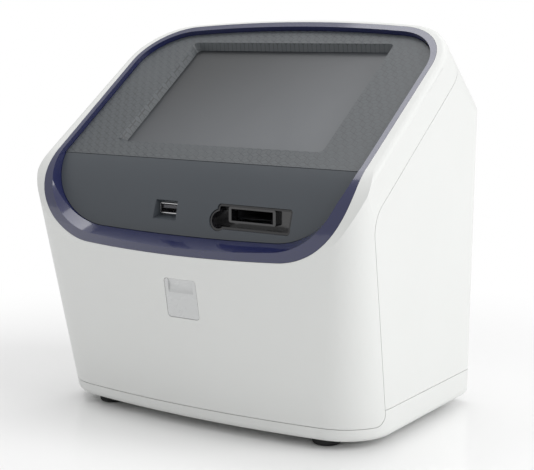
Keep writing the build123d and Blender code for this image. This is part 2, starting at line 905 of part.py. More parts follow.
def trim_ring():
    """Glossy ring round the face: band, inner wall, chin shelf, ledge and hidden flange."""
    reach = 2 * case_half_width
    under = fascia_wall + stack_gap
    ring = OUTER & face_region(-trim_gap)
    skin = case_form(wall + trim_gap) - case_form(wall + trim_gap + flange_wall)
    ring += skin & face_region(flange)
    ring -= slope_block(-reach, reach, 0, reach, -reach, -trim_depth)
    ring -= fascia_roll(under + flange_wall) & below_divide()
    ring -= slope_prism(0, wall + rim_height, -bezel_wall - stack_gap, -1)
    ring -= slope_prism(-ledge, wall + rim_height, -reach / 4, -1)
    ring -= shelf_void() - fascia_roll(under)
    front = front_y(fascia_bottom_z, wall) - 2 * wall
    return ring - (chin_prism(-ledge, front, hinge_y + chin_reach) & below_divide())


def screen_bezel():
    """Upper bezel: a plate with a bevelled screen window, its frame and four bosses."""
    reach = case_half_width
    plate = slope_prism(-bezel_gap, 0, -bezel_wall, -1)
    plate -= slope_block(-reach, reach, -wall, divide_gap / 2, -wall, wall)
    middle = (screen_low_s + screen_high_s) / 2
    height = screen_high_s - screen_low_s
    at = SLOPE.location * Pos(0, middle, 0)
    plate += at * extrude(RectangleRounded(screen_width + 2 * screen_frame, height + 2 * screen_frame,
                                           screen_corner + screen_frame), -screen_depth)
    plate -= at * loft([Pos(0, 0, fit) * RectangleRounded(screen_width, height, screen_corner),
                        Pos(0, 0, -screen_depth - fit)
                        * RectangleRounded(screen_width - 2 * screen_bevel, height - 2 * screen_bevel,
                                           screen_corner)], ruled=True)
    for x, s in bezel_places():
        plate += SLOPE.location * along_z(x, s, -MODULE_FLOOR, -bezel_wall / 2, boss_radius)
        plate -= SLOPE.location * along_z(x, s, -MODULE_FLOOR - 1, -bezel_wall, pilot_radius)
    return plate


GLASS_TOP = screen_depth + stack_gap
MODULE_TOP = GLASS_TOP + glass_wall + stack_gap
MODULE_FLOOR = MODULE_TOP + module_wall + stack_gap


def display_plate(margin, corner, depth, thick):
    """A plate of the display stack, larger than the screen window by margin."""
    at = SLOPE.location * Pos(0, (screen_low_s + screen_high_s) / 2, -depth)
    height = screen_high_s - screen_low_s
    return at * extrude(RectangleRounded(screen_width + 2 * margin, height + 2 * margin, corner), -thick)


def touch_glass():
    """Touch glass under the bezel frame."""
    return display_plate(glass_margin - screen_bevel, screen_corner, GLASS_TOP, glass_wall)


def display_module():
    """Flat display module under the glass."""
    return display_plate(module_margin, screen_corner / 2, MODULE_TOP, module_wall)


def display_bracket():
    """Sheet bracket behind the display, with ears on the bezel's bosses."""
    middle = (screen_low_s + screen_high_s) / 2
    height = screen_high_s - screen_low_s + 2 * module_margin
    ear = bracket_ear_x + boss_radius + 1
    at = SLOPE.location * Pos(0, middle, -MODULE_FLOOR)
    plate = at * extrude(RectangleRounded(2 * ear, height, boss_radius), -bracket_wall)
    for x, s in bezel_places():
        plate -= SLOPE.location * along_z(x, s, -MODULE_FLOOR - wall, 0, clearance_radius)
    return plate


def display_screws():
    """Four screws of the display bracket, driven from behind."""
    low = -MODULE_FLOOR - bracket_wall
    return group(*[SLOPE.location * screw_z(x, s, low, MODULE_FLOOR - bezel_wall) for x, s in bezel_places()])


def port_prism(grow, y0, y1):
    """Prism of the slide port along Y, with its round finger place on the left."""
    outline = Pos(port_x, port_z) * RectangleRounded(port_width + 2 * grow, port_height + 2 * grow,
                                                     port_corner + grow)
    outline += Pos(port_x - port_width / 2 + finger_inset, port_z - finger_drop) * Circle(finger_radius + grow)
    return extrude(Plane.XZ.offset(-y0) * outline, -(y1 - y0))


def usb_well():
    """The tapered recess of the USB port."""
    front = usb_mouth_y - fascia_wall - wall
    share = (usb_floor_y - front) / (usb_floor_y - usb_mouth_y)
    width = usb_floor_width + (usb_mouth_width - usb_floor_width) * share
    height = usb_floor_height + (usb_mouth_height - usb_floor_height) * share
    mouth = Plane(origin=(usb_x, front, usb_z), x_dir=(1, 0, 0), z_dir=(0, 1, 0))
    floor = Plane(origin=(usb_x, usb_floor_y, usb_z), x_dir=(1, 0, 0), z_dir=(0, 1, 0))
    return loft([mouth * Rectangle(width, height), floor * Rectangle(usb_floor_width, usb_floor_height)],
                ruled=True)


def lower_fascia():
    """Curved lower fascia with the slide port opening, the USB well and two board posts."""
    front = front_y(fascia_bottom_z, wall) - 2 * wall
    reach = case_half_width
    sheet = (fascia_roll(0) - fascia_roll(fascia_wall)) & chin_prism(-bezel_gap, front, hinge_y + chin_reach)
    sheet &= slope_block(-reach, reach, -reach, -divide_gap / 2, -reach, reach)
    well = upright(usb_x, usb_z, usb_mouth_width + 2 * usb_well_wall, usb_mouth_height + 2 * usb_well_wall,
                   usb_well_wall, front, usb_floor_y + usb_well_wall)
    board_front = usb_back_y()
    for side in (-1, 1):
        well += along_y(usb_x + side * usb_post_x, usb_z, front, board_front, usb_post_radius)
    sheet += well & fascia_roll(fascia_wall / 2)
    sheet -= usb_well()
    half_width = usb_shell_width / 2 + usb_clear
    half_height = usb_shell_height / 2 + usb_clear
    sheet -= block(usb_x - half_width, usb_x + half_width, usb_floor_y - 1, usb_floor_y + 2 * usb_well_wall,
                   usb_z - half_height, usb_z + half_height)
    for side in (-1, 1):
        sheet -= along_y(usb_x + side * usb_post_x, usb_z, board_front - 6, board_front + 1, pilot_radius)
    return sheet - port_prism(0, front, hinge_y)


def slide_port():
    """Glossy slide port: pocket, finger place, curved ribs, nose with a funnel and the slot."""
    front = front_y(fascia_bottom_z, wall) - 2 * wall
    back = port_floor_y + port_floor_wall
    cup = port_prism(-port_gap, front, back) & fascia_roll(port_recess)
    behind = fascia_roll(fascia_wall + port_gap) - fascia_roll(fascia_wall + port_gap + port_wall)
    cup += port_prism(port_flange, front, back) & behind & chin_prism(-ledge - port_gap, front, back)
    cup -= port_prism(-port_gap - port_wall, front, port_floor_y)
    right = port_x + port_width / 2
    inside = port_prism(-port_gap - port_wall / 2, front, port_floor_y + port_gap)
    for step in range(rib_steps):
        rib = block(right - rib_reach, right, port_floor_y - (step + 1) * rib_rise, port_floor_y + 1,
                    port_z - port_height, port_z + port_height)
        rib -= along_y(right - rib_reach, port_z, front, port_floor_y + 1, rib_radius + step * rib_pitch)
        cup += rib & inside
    nose_y = port_floor_y - nose_proud
    cup += upright(axis_x, slot_z, nose_width, nose_height, port_wall, nose_y, port_floor_y + 1)
    mouth = Plane(origin=(axis_x, nose_y, slot_z), x_dir=(1, 0, 0), z_dir=(0, 1, 0))
    cup -= loft([mouth * Rectangle(funnel_width, funnel_height),
                 mouth.offset(nose_proud) * Rectangle(slot_width, slot_height)], ruled=True)
    return cup - upright(axis_x, slot_z, slot_width, slot_height, port_wall / 2, nose_y, back + 1)


def usb_back_y():
    """Back end of the USB port, where its board is."""
    return usb_floor_y - usb_proud + usb_depth


def usb_shell():
    """Folded metal shell of the front USB port."""
    front = usb_floor_y - usb_proud
    outer = upright(usb_x, usb_z, usb_shell_width, usb_shell_height, 2 * usb_wall, front, usb_back_y())
    return outer - upright(usb_x, usb_z, usb_shell_width - 2 * usb_wall, usb_shell_height - 2 * usb_wall,
                           usb_wall, front - 1, usb_back_y() - usb_wall)


def usb_tongue():
    """Insulating tongue of the USB port on its rear block."""
    back = usb_back_y() - usb_wall
    half = usb_shell_width / 2 - 1.5 * usb_wall
    low = usb_z - usb_shell_height / 2 + 1.5 * usb_wall
    high = usb_z + usb_shell_height / 2 - 1.5 * usb_wall
    rear = block(usb_x - half, usb_x + half, back - 3, back, low, high)
    return rear + block(usb_x - half + 1, usb_x + half - 1, usb_floor_y - usb_proud + 1, back - 2,
                        high - 2.3, high - 0.5)


def usb_board():
    """Small board that carries the USB port, on the two posts behind the fascia."""
    front = usb_back_y()
    board = block(usb_x - usb_board_width / 2, usb_x + usb_board_width / 2, front, front + board_wall,
                  usb_z - usb_board_height / 2, usb_z + usb_board_height / 2)
    for side in (-1, 1):
        board -= along_y(usb_x + side * usb_post_x, usb_z, front - 1, front + wall, clearance_radius)
    return board


def usb_screws():
    """Two screws of the USB board."""
    seat = usb_back_y() + board_wall
    return group(*[screw_y(usb_x + side * usb_post_x, usb_z, seat, -board_wall - 5) for side in (-1, 1)])


# Optical frame

def optical_frame():
    """Cast frame: foot plate, upright plate with a hatch, two posts and two gussets."""
    left, right = frame_left_x(), frame_right_x()
    foot_top = frame_foot_z + frame_foot_wall
    foot = Pos((left + right) / 2, (frame_front_y + frame_back_y) / 2, frame_foot_z) \
        * extrude(RectangleRounded(right - left, frame_back_y - frame_front_y, frame_corner), frame_foot_wall)
    plate_left = left_post_x()
    plate = upright((plate_left + right) / 2, (plate_top_z + foot_top) / 2, right - plate_left,
                    plate_top_z - foot_top, plate_corner, plate_y, plate_y + plate_wall)
    plate += block(plate_left, right, plate_y, plate_y + plate_wall, foot_top - 1, foot_top + plate_corner)
    hatch_z = (hatch_low_z + hatch_high_z) / 2
    plate -= upright(axis_x, hatch_z, 2 * hatch_half_width, hatch_high_z - hatch_low_z, plate_corner / 2,
                     plate_y - 1, plate_y + plate_wall + 1)
    frame = foot + plate
    for x in (plate_left, right - post_wall):
        frame += block(x, x + post_wall, post_front_y, plate_y + 1, foot_top - 1, post_top_z)
    heel = plate_y + plate_wall
    for x in (plate_left + gusset_inset, right - gusset_inset - gusset_wall):
        outline = Polyline((heel - 1, foot_top - 1), (frame_back_y - 1, foot_top - 1),
                           (heel - 1, foot_top + gusset_height), close=True)
        frame += extrude(Plane.YZ.offset(x) * make_face(outline), gusset_wall)
    screw_z_axis = slider_z + slider_wall / 2
    for y, radius in ((axis_y - slider_rod_offset, slider_rod_radius),
                      (axis_y + slider_rod_offset, slider_rod_radius), (lead_y, lead_radius)):
        frame -= along_x(y, screw_z_axis, left - 1, right + 1, radius + fit)
    frame -= along_x(axis_y, fold_z, left - 1, axis_x - mount_half, tube_radius + fit)
    for x, y in frame_places():
        frame -= along_z(x, y, frame_foot_z - 1, foot_top + 1, clearance_radius)
    for x, y in mount_places():
        frame -= along_z(x, y, frame_foot_z - 1, foot_top + 1, pilot_radius)
    for x, z in plate_places():
        frame -= along_y(x, z, plate_y - 1, plate_y + plate_wall + 1, clearance_radius)
    return frame


def frame_screws():
    """Screws of the frame's foot, of the mirror mount and of the upright plate."""
    foot_top = frame_foot_z + frame_foot_wall
    screws = [screw_z(x, y, foot_top, -frame_screw_length) for x, y in frame_places()]
    ear_top = foot_top + mount_floor
    screws += [screw_z(x, y, ear_top, frame_foot_z + fit - ear_top) for x, y in mount_places()]
    back = plate_y + plate_wall
    screws += [screw_y(x, z, back, guide_stop_y + fit - back) for x, z in plate_places()]
    return group(*screws)


def carriage_guide():
    """Guide channel of the slide carriage, with an end wall on the upright plate."""
    half = carriage_width / 2 + guide_clear
    low = carriage_low_z - guide_clear
    high = carriage_low_z + carriage_height + guide_clear
    wide = half + guide_wall
    channel = block(axis_x - wide, axis_x + wide, guide_front_y, plate_y, low - guide_wall, high + guide_wall)
    channel += block(axis_x - wide, axis_x + wide, guide_stop_y, plate_y, guide_back_low_z, high + guide_wall)
    channel -= block(axis_x - half, axis_x + half, guide_front_y - 1, guide_stop_y, low, high)
    open_half = half - guide_lip
    channel -= block(axis_x - open_half, axis_x + open_half, guide_front_y - 1, guide_stop_y,
                     low - guide_wall - 1, high + guide_wall + 1)
    mid_z = carriage_low_z + carriage_height / 2
    channel += along_y(axis_x, mid_z, guide_stop_y - peg_length, guide_stop_y + 1, peg_radius)
    for side in (-1, 1):
        channel -= along_y(axis_x + side * guide_screw_x, mid_z, guide_stop_y - 1, plate_y + 1, pilot_radius)
    return channel


def slide_carriage():
    """Open tray that takes the slide, with a window over the objective."""
    half = carriage_width / 2
    low = carriage_low_z
    high = low + carriage_height
    tray = block(axis_x - half, axis_x + half, carriage_front_y, carriage_back_y, low, high)
    inner = half - carriage_side
    tray -= block(axis_x - inner, axis_x + inner, carriage_front_y - 1, carriage_back_y - 2 * carriage_side,
                  low + carriage_floor, high + 1)
    tray = chamfer(tray.edges().filter_by(lambda e: abs((e @ 0.5).Y - carriage_front_y) < 0.01
                                          and abs((e @ 0.5).Z - low - carriage_floor) < 0.01), 1.5)
    tray -= Pos(axis_x, axis_y, low) * extrude(RectangleRounded(window_width, window_length, 4),
                                               2 * carriage_floor, both=True)
    return tray + along_y(axis_x, low + carriage_height / 2, carriage_back_y - 1,
                          carriage_back_y + peg_length, peg_radius)


def carriage_spring():
    """Return spring between the carriage and the end wall of its guide."""
    end = spring_wire_radius + fit
    length = guide_stop_y - carriage_back_y - 2 * end
    path = Helix(pitch=length / spring_turns, height=length, radius=spring_coil_radius)
    section = Plane(origin=path @ 0, z_dir=path % 0) * Circle(spring_wire_radius)
    coil = sweep(section, path, is_frenet=True)
    return Pos(axis_x, carriage_back_y + end, carriage_low_z + carriage_height / 2) * Rot(-90, 0, 0) * coil


# Focus stage

def focus_bracket():
    """Bracket of the focus stage: a back wall and two arms."""
    x0, x1 = axis_x - bracket_half_width, axis_x + bracket_half_width
    bracket = block(x0, x1, plate_y - bracket_back_wall, plate_y, bracket_low_z, bracket_top_z)
    bracket += block(x0, x1, bracket_front_y, plate_y, bracket_low_z, bracket_low_z + bracket_arm)
    bracket += block(x0, x1, bracket_front_y, plate_y, bracket_top_z - bracket_arm, bracket_top_z)
    for side in (-1, 1):
        bracket -= along_z(axis_x + side * guide_rod_x, guide_rod_y, bracket_low_z - 1, bracket_top_z + 1,
                           guide_rod_radius + fit)
        bracket -= along_y(axis_x + side * guide_screw_x, (bracket_low_z + bracket_top_z) / 2,
                           plate_y - bracket_back_wall - 1, plate_y + 1, pilot_radius)
    return bracket - along_z(axis_x, lead_y, bracket_low_z - 1, bracket_top_z + 1, lead_radius + fit)


def guide_rods():
    """Two guide rods of the focus stage."""
    return group(*[along_z(axis_x + side * guide_rod_x, guide_rod_y, bracket_low_z, bracket_top_z,
                           guide_rod_radius) for side in (-1, 1)])


def focus_stage():
    """Stage that carries the objective up and down the guide rods."""
    half = stage_half_width
    stage = block(axis_x - half, axis_x + half, guide_rod_y - 2 * boss_radius, stage_back_y, stage_z,
                  stage_z + stage_wall)
    stage += along_z(axis_x, axis_y, stage_z, stage_z + stage_wall, axis_y - stage_front_y)
    reach = axis_y - stage_front_y
    stage += block(axis_x - reach, axis_x + reach, axis_y, stage_back_y - 1, stage_z, stage_z + stage_wall)
    stage -= along_z(axis_x, axis_y, stage_z - 1, stage_z + stage_wall + 1, objective_radius + fit)
    for side in (-1, 1):
        stage -= along_z(axis_x + side * guide_rod_x, guide_rod_y, stage_z - 1, stage_z + stage_wall + 1,
                         guide_rod_radius + fit)
    return stage - along_z(axis_x, lead_y, stage_z - 1, stage_z + stage_wall + 1, lead_radius + fit)


def objective():
    """Stepped objective barrel with a shoulder on the stage."""
    shoulder_z = stage_z + stage_wall
    neck_z = shoulder_z + 3
    nose_z = objective_top_z - 7
    with BuildSketch(Plane.XZ) as sketch:
        with BuildLine():
            Polyline((objective_bore, objective_base_z), (objective_radius, objective_base_z),
                     (objective_radius, shoulder_z), (objective_shoulder, shoulder_z),
                     (objective_shoulder, neck_z), (objective_radius - 0.8, neck_z),
                     (objective_radius - 0.8, nose_z), (objective_bore + 1, objective_top_z),
                     (objective_bore, objective_top_z), close=True)
        make_face()
    return Pos(axis_x, axis_y, 0) * revolve(sketch.sketch, Axis.Z)


def objective_lenses():
    """Front and rear lens of the objective."""
    radius = objective_bore - fit
    front = along_z(axis_x, axis_y, objective_top_z - 4, objective_top_z - 0.5, radius)
    return group(front, along_z(axis_x, axis_y, objective_base_z + 1, objective_base_z + 4, radius))


def focus_screw():
    """Lead screw of the focus stage."""
    return along_z(axis_x, lead_y, bracket_low_z + lead_end_gap, bracket_top_z - lead_end_gap, lead_radius)


def focus_motor():
    """Small stepping motor under the focus bracket."""
    low = bracket_low_z - focus_motor_height
    can = along_z(axis_x, lead_y, low, bracket_low_z, focus_motor_radius)
    return fillet(can.edges().group_by(Axis.Z)[0], 1.0)


# Light cube changer

def cube_axes():
    """Middle of the two light cubes at rest."""
    return (axis_x, axis_x - cube_pitch)


def cube_slider():
    """Slider with two cube seats, two rod bores and the nut of the changer screw."""
    low, high = slider_z, slider_z + slider_wall
    slider = block(slider_left_x(), slider_right_x(), axis_y - slider_half_depth, axis_y + slider_half_depth,
                   low, high)
    middle = (slider_left_x() + slider_right_x()) / 2
    slider += block(middle - nut_length / 2, middle + nut_length / 2, axis_y, nut_back_y, low, high)
    half = cube_size / 2 + fit
    for x in cube_axes():
        slider -= block(x - half, x + half, axis_y - half, axis_y + half, high - cube_seat, high + 1)
        slider -= along_z(x, axis_y, low - 1, high, cube_bore)
    mid_z = (low + high) / 2
    for side in (-1, 1):
        slider -= along_x(axis_y + side * slider_rod_offset, mid_z, slider_left_x() - 1, slider_right_x() + 1,
                          slider_rod_radius + fit)
    return slider - along_x(lead_y, mid_z, slider_left_x() - 1, slider_right_x() + 1, lead_radius + fit)


def cube_low_z():
    """Underside of the light cubes, in their seats."""
    return slider_z + slider_wall - cube_seat


def dichroic(x, extra=0.0):
    """The tilted plate of a light cube."""
    size = dichroic_size + 2 * extra
    return Pos(x, axis_y, cube_low_z() + cube_height / 2) * Rot(45, 0, 0) \
        * Box(size, size, dichroic_wall + 2 * extra)


def light_cube(x):
    """Body of a light cube: upright bore, lamp bore at the back and the slot of the tilted plate."""
    low = cube_low_z()
    half = cube_size / 2
    cube = block(x - half, x + half, axis_y - half, axis_y + half, low, low + cube_height)
    cube = chamfer(cube.edges().filter_by(Axis.Z), 1.0)
    cube -= along_z(x, axis_y, low - 1, low + cube_height + 1, cube_bore)
    cube -= along_y(x, low + cube_height / 2, axis_y, axis_y + half + 1, cube_bore - 3)
    return cube - dichroic(x, fit)


def cube_plates():
    """The two tilted plates."""
    return group(*[dichroic(x) for x in cube_axes()])


def cube_lamps():
    """Lamp boards on the backs of the two cubes."""
    boards = []
    mid_z = cube_low_z() + cube_height / 2
    back = axis_y + cube_size / 2
    for x in cube_axes():
        board = block(x - led_board_width / 2, x + led_board_width / 2, back, back + board_wall,
                      mid_z - led_board_height / 2, mid_z + led_board_height / 2)
        boards.append(board + along_y(x, mid_z, back - 2, back + 0.5, led_radius))
    return group(*boards)


def changer_rods():
    """Two rods that the slider runs on."""
    mid_z = slider_z + slider_wall / 2
    return group(*[along_x(axis_y + side * slider_rod_offset, mid_z, left_post_x(), frame_right_x(),
                           slider_rod_radius) for side in (-1, 1)])


def changer_screw():
    """Lead screw of the changer."""
    return along_x(lead_y, slider_z + slider_wall / 2, left_post_x() + lead_end_gap,
                   frame_right_x() - lead_end_gap, lead_radius)


def changer_motor():
    """Stepping motor on the outer face of the left post."""
    x1 = left_post_x()
    can = along_x(lead_y, slider_z + slider_wall / 2, x1 - changer_motor_length, x1, changer_motor_radius)
    return fillet(can.edges().group_by(Axis.X)[0], 1.0)


# Fold mirror, tube and camera

def folded(*sizes):
    """A box in the axes of the fold mirror, whose face points up and to the left."""
    return Pos(axis_x, axis_y, fold_z) * Rot(0, -45, 0) * block(*sizes)


def mirror_mount():
    """Mount of the fold mirror: tilted seat, two cheeks, a tube port and two screw ears."""
    foot = frame_foot_z + frame_foot_wall
    left, right = axis_x - mount_half, axis_x + mount_half
    mount = block(left, right, axis_y - mount_half, axis_y + mount_half, foot, mount_top_z)
    cheek = mount_half - mount_cheek
    room = block(left + mount_cheek, right - mount_cheek / 2, axis_y - cheek, axis_y + cheek,
                 foot + mount_floor, mount_top_z + 1)
    reach = 4 * mount_half
    mount -= room & folded(-reach, reach, -reach, reach, -mirror_wall, reach)
    mount -= along_x(axis_y, fold_z, left - 1, left + mount_cheek + 1, light_bore)
    ear = mount_half + mount_ear
    mount += block(axis_x - mount_ear, axis_x + mount_ear, axis_y - ear, axis_y + ear, foot, foot + mount_floor) \
        - block(left, right, axis_y - mount_half, axis_y + mount_half, foot - 1, mount_top_z)
    for x, y in mount_places():
        mount -= along_z(x, y, foot - 1, foot + mount_floor + 1, clearance_radius)
    return mount


def fold_mirror():
    """Fold mirror on its tilted seat."""
    half = mirror_length / 2
    return folded(-half, half, -mirror_half_width, mirror_half_width, -mirror_wall, 0)


def tube_barrel():
    """Barrel between the fold mirror and the camera."""
    x1 = axis_x - mount_half
    tube = along_x(axis_y, fold_z, tube_end_x, x1, tube_radius)
    return tube - along_x(axis_y, fold_z, tube_end_x - 1, x1 + 1, tube_radius - tube_wall)


def tube_lens():
    """Lens inside the barrel."""
    return along_x(axis_y, fold_z, tube_lens_x, tube_lens_x + tube_lens_wall, tube_radius - tube_wall - fit)


def camera_board():
    """Camera board on the end of the barrel, with its image sensor."""
    half = camera_board_size / 2
    board = block(tube_end_x - board_wall, tube_end_x, axis_y - half, axis_y + half, fold_z - half, fold_z + half)
    eye = sensor_size / 2
    board += block(tube_end_x - board_wall / 2, tube_end_x + 1, axis_y - eye, axis_y + eye, fold_z - eye,
                   fold_z + eye)
    return board + block(tube_end_x - 3 * board_wall, tube_end_x - board_wall / 2, axis_y - half + 3,
                         axis_y - half + 15, fold_z - half + 2, fold_z - half + 8)


# Bright field lamp

def lamp_housing():
    """Lamp over the slide, on an arm from the upright plate."""
    lamp = along_z(axis_x, axis_y, lamp_low_z, lamp_high_z, lamp_radius)
    lamp += block(axis_x - lamp_arm_half, axis_x + lamp_arm_half, axis_y, plate_y, lamp_arm_low_z,
                  lamp_arm_high_z)
    foot_half = lamp_foot_half + lamp_wall
    lamp += block(axis_x - foot_half, axis_x + foot_half, guide_stop_y, plate_y, lamp_arm_low_z - 1,
                  lamp_arm_high_z + 1)
    lamp -= along_z(axis_x, axis_y, lamp_low_z - 1, lamp_high_z - lamp_roof, lamp_radius - lamp_wall)
    lamp_z = (lamp_arm_low_z + lamp_arm_high_z) / 2
    for side in (-1, 1):
        lamp -= along_y(axis_x + side * lamp_arm_half, lamp_z, guide_stop_y - 1, plate_y + 1, pilot_radius)
    return lamp


def condenser_lens():
    """Condenser lens in the mouth of the lamp."""
    return along_z(axis_x, axis_y, lamp_low_z, lamp_low_z + lens_height, lamp_radius - lamp_wall - fit)


def lamp_board():
    """Lamp board under the roof of the lamp."""
    top = lamp_high_z - lamp_roof
    disc = along_z(axis_x, axis_y, top - board_wall, top, lamp_radius - lamp_wall - fit)
    return disc + along_z(axis_x, axis_y, top - board_wall - 2, top - board_wall / 2, led_radius)


# Rear parts

def switch_body():
    """Body and flange of the power switch, with the hollow that the rocker turns in."""
    half = switch_width / 2
    body = block(switch_x - half, switch_x + half, back_y - switch_depth, back_y,
                 switch_z - switch_height / 2, switch_z + switch_height / 2)
    body += upright(switch_x, switch_z, switch_width + 2 * switch_flange, switch_height + 2 * switch_flange,
                    switch_flange, back_y, back_y + switch_flange_wall)
    hollow = rocker_width / 2 + rocker_clear
    body -= along_x(back_y, switch_z, switch_x - hollow, switch_x + hollow, rocker_radius + rocker_clear)
    reach = rocker_width / 2 + trunnion_length + rocker_clear
    return body - along_x(back_y, switch_z, switch_x - reach, switch_x + reach, trunnion_radius + fit)


def switch_blades():
    """Two contact blades behind the switch."""
    back = back_y - switch_depth
    return group(*[block(switch_x - blade_width / 2, switch_x + blade_width / 2, back - blade_length, back,
                         switch_z + z - blade_wall / 2, switch_z + z + blade_wall / 2)
                   for z in (-blade_z, blade_z)])


def power_rocker():
    """Rocker in its off position, with its two trunnions."""
    slope = tan(radians(rocker_tilt))
    far = 2 * rocker_radius
    keep = Polyline((-far, -far), (rocker_dip + far * slope, -far), (rocker_dip, 0),
                    (rocker_dip + far * slope, far), (-far, far), close=True)
    shape = extrude(Plane.YZ * make_face(keep), rocker_width / 2, both=True)
    shape &= Rot(0, 90, 0) * Cylinder(rocker_radius, rocker_width)
    shape += Rot(0, 90, 0) * Cylinder(trunnion_radius, rocker_width + 2 * trunnion_length)
    return Pos(switch_x, back_y, switch_z) * Rot(-rocker_tilt, 0, 0) * shape


def dc_inlet():
    """Barrel inlet with its flange and centre pin."""
    body = along_y(inlet_x, inlet_z, back_y - inlet_depth, back_y + 1, inlet_radius)
    body += along_y(inlet_x, inlet_z, back_y, back_y + inlet_flange_wall, inlet_flange_radius)
    mouth = back_y + inlet_flange_wall
    body -= along_y(inlet_x, inlet_z, mouth - inlet_bore_depth, mouth + 1, inlet_bore)
    return body + along_y(inlet_x, inlet_z, mouth - inlet_bore_depth - 1, mouth - 1, inlet_pin)


def inlet_nut():
    """Hexagon nut behind the inlet."""
    plane = Plane(origin=(inlet_x, back_y - wall, inlet_z), x_dir=(1, 0, 0), z_dir=(0, -1, 0))
    return extrude(plane * (RegularPolygon(nut_radius, 6) - Circle(inlet_radius + fit)), nut_wall)


def main_board():
    """Main board behind the display, on four posts of the rear moulding."""
    board = block(board_left_x, board_right_x, board_y - board_wall, board_y, board_low_z, board_high_z)
    for x, z in board_places():
        board -= along_y(x, z, board_y - wall, board_y + 1, clearance_radius)
    return board


def board_chips():
    """Heat sink, chips and connectors on the main board."""
    face = board_y - board_wall
    mid_x = (board_left_x + board_right_x) / 2
    mid_z = (board_low_z + board_high_z) / 2
    half = sink_size / 2
    sink = block(mid_x - half, mid_x + half, face - sink_base, face, mid_z - half, mid_z + half)
    for i in range(sink_fins):
        x = mid_x - half + (i + 0.5) * sink_size / sink_fins
        sink += block(x - 0.8, x + 0.8, face - sink_height, face - sink_base / 2, mid_z - half, mid_z + half)
    chips = [sink]
    for side in (-1, 1):
        x = mid_x + side * (half + chip_size / 2 - 1)
        chips.append(block(x - chip_size / 2 + 4, x + chip_size / 2 - 4, face - 1.2, face, mid_z + half + 3,
                           mid_z + half + 3 + chip_size / 2))
        chips.append(block(x - 4, x + 4, face - 6, face, board_low_z + 6, board_low_z + 12))
    chips.append(block(mid_x - 14, mid_x + 14, face - 5, face, board_high_z - 9, board_high_z - 3))
    return group(*chips)


def board_screws():
    """Four screws of the main board."""
    seat = board_y - board_wall
    return group(*[screw_y(x, z, seat, board_wall + 6) for x, z in board_places()])


OUTER = case_form()
INNER = case_form(wall)

PIECES = {
    "front_shell": front_shell,
    "rear_shell": rear_shell,
    "base_pan": base_pan,
    "case_screws": case_screws,
    "rubber_feet": rubber_feet,
    "trim_ring": trim_ring,
    "badge_plate": badge_plate,
    "screen_bezel": screen_bezel,
    "touch_glass": touch_glass,
    "display_module": display_module,
    "display_bracket": display_bracket,
    "display_screws": display_screws,
    "lower_fascia": lower_fascia,
    "slide_port": slide_port,
    "usb_shell": usb_shell,
    "usb_tongue": usb_tongue,
    "usb_board": usb_board,
    "usb_screws": usb_screws,
    "optical_frame": optical_frame,
    "frame_screws": frame_screws,
    "carriage_guide": carriage_guide,
    "slide_carriage": slide_carriage,
    "carriage_spring": carriage_spring,
    "focus_bracket": focus_bracket,
    "guide_rods": guide_rods,
    "focus_stage": focus_stage,
    "objective": objective,
    "objective_lenses": objective_lenses,
    "focus_screw": focus_screw,
    "focus_motor": focus_motor,
    "cube_slider": cube_slider,
    "light_cube_a": lambda: light_cube(axis_x),
    "light_cube_b": lambda: light_cube(axis_x - cube_pitch),
    "cube_plates": cube_plates,
    "cube_lamps": cube_lamps,
    "changer_rods": changer_rods,
    "changer_screw": changer_screw,
    "changer_motor": changer_motor,
    "mirror_mount": mirror_mount,
    "fold_mirror": fold_mirror,
    "tube_barrel": tube_barrel,
    "tube_lens": tube_lens,
    "camera_board": camera_board,
    "lamp_housing": lamp_housing,
    "condenser_lens": condenser_lens,
    "lamp_board": lamp_board,
    "rear_door": rear_door,
    "hinge_pin": hinge_pin,
    "switch_body": switch_body,
    "switch_blades": switch_blades,
    "power_rocker": power_rocker,
    "dc_inlet": dc_inlet,
    "inlet_nut": inlet_nut,
    "main_board": main_board,
    "board_chips": board_chips,
    "board_screws": board_screws,
}


if __name__ == "__main__":
    os.makedirs("parts", exist_ok=True)
    for name, make in PIECES.items():
        shape = make()
        print(name, shape.is_valid, round(shape.volume, 1), len(shape.solids()))
        export_step(shape, "parts/" + name + ".step")
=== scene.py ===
"""Looks of a benchtop cell counter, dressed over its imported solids.

Every piece is in metres, in the frame of the solids: +Z up, the screen faces -Y.
"""

import json
import logging
import math
from dataclasses import dataclass
from enum import Enum
from typing import Any, ClassVar, Iterable, Optional, Sequence

import bmesh
import bpy
from mathutils import Matrix, Vector


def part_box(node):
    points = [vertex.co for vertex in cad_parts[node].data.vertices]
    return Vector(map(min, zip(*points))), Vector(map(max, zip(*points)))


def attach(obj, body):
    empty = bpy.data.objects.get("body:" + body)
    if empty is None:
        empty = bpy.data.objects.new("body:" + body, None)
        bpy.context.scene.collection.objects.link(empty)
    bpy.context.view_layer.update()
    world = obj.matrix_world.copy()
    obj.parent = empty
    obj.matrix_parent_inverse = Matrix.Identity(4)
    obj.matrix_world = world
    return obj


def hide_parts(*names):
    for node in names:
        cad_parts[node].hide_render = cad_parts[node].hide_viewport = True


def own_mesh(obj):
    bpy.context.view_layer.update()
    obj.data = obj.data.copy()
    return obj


MM = 0.001
SLOPE_ANGLE = math.radians(36.46)
HEX_RISE = math.sqrt(0.75)
MERGE_DISTANCE = 0.002 * MM
LOG = logging.getLogger("cell_counter")

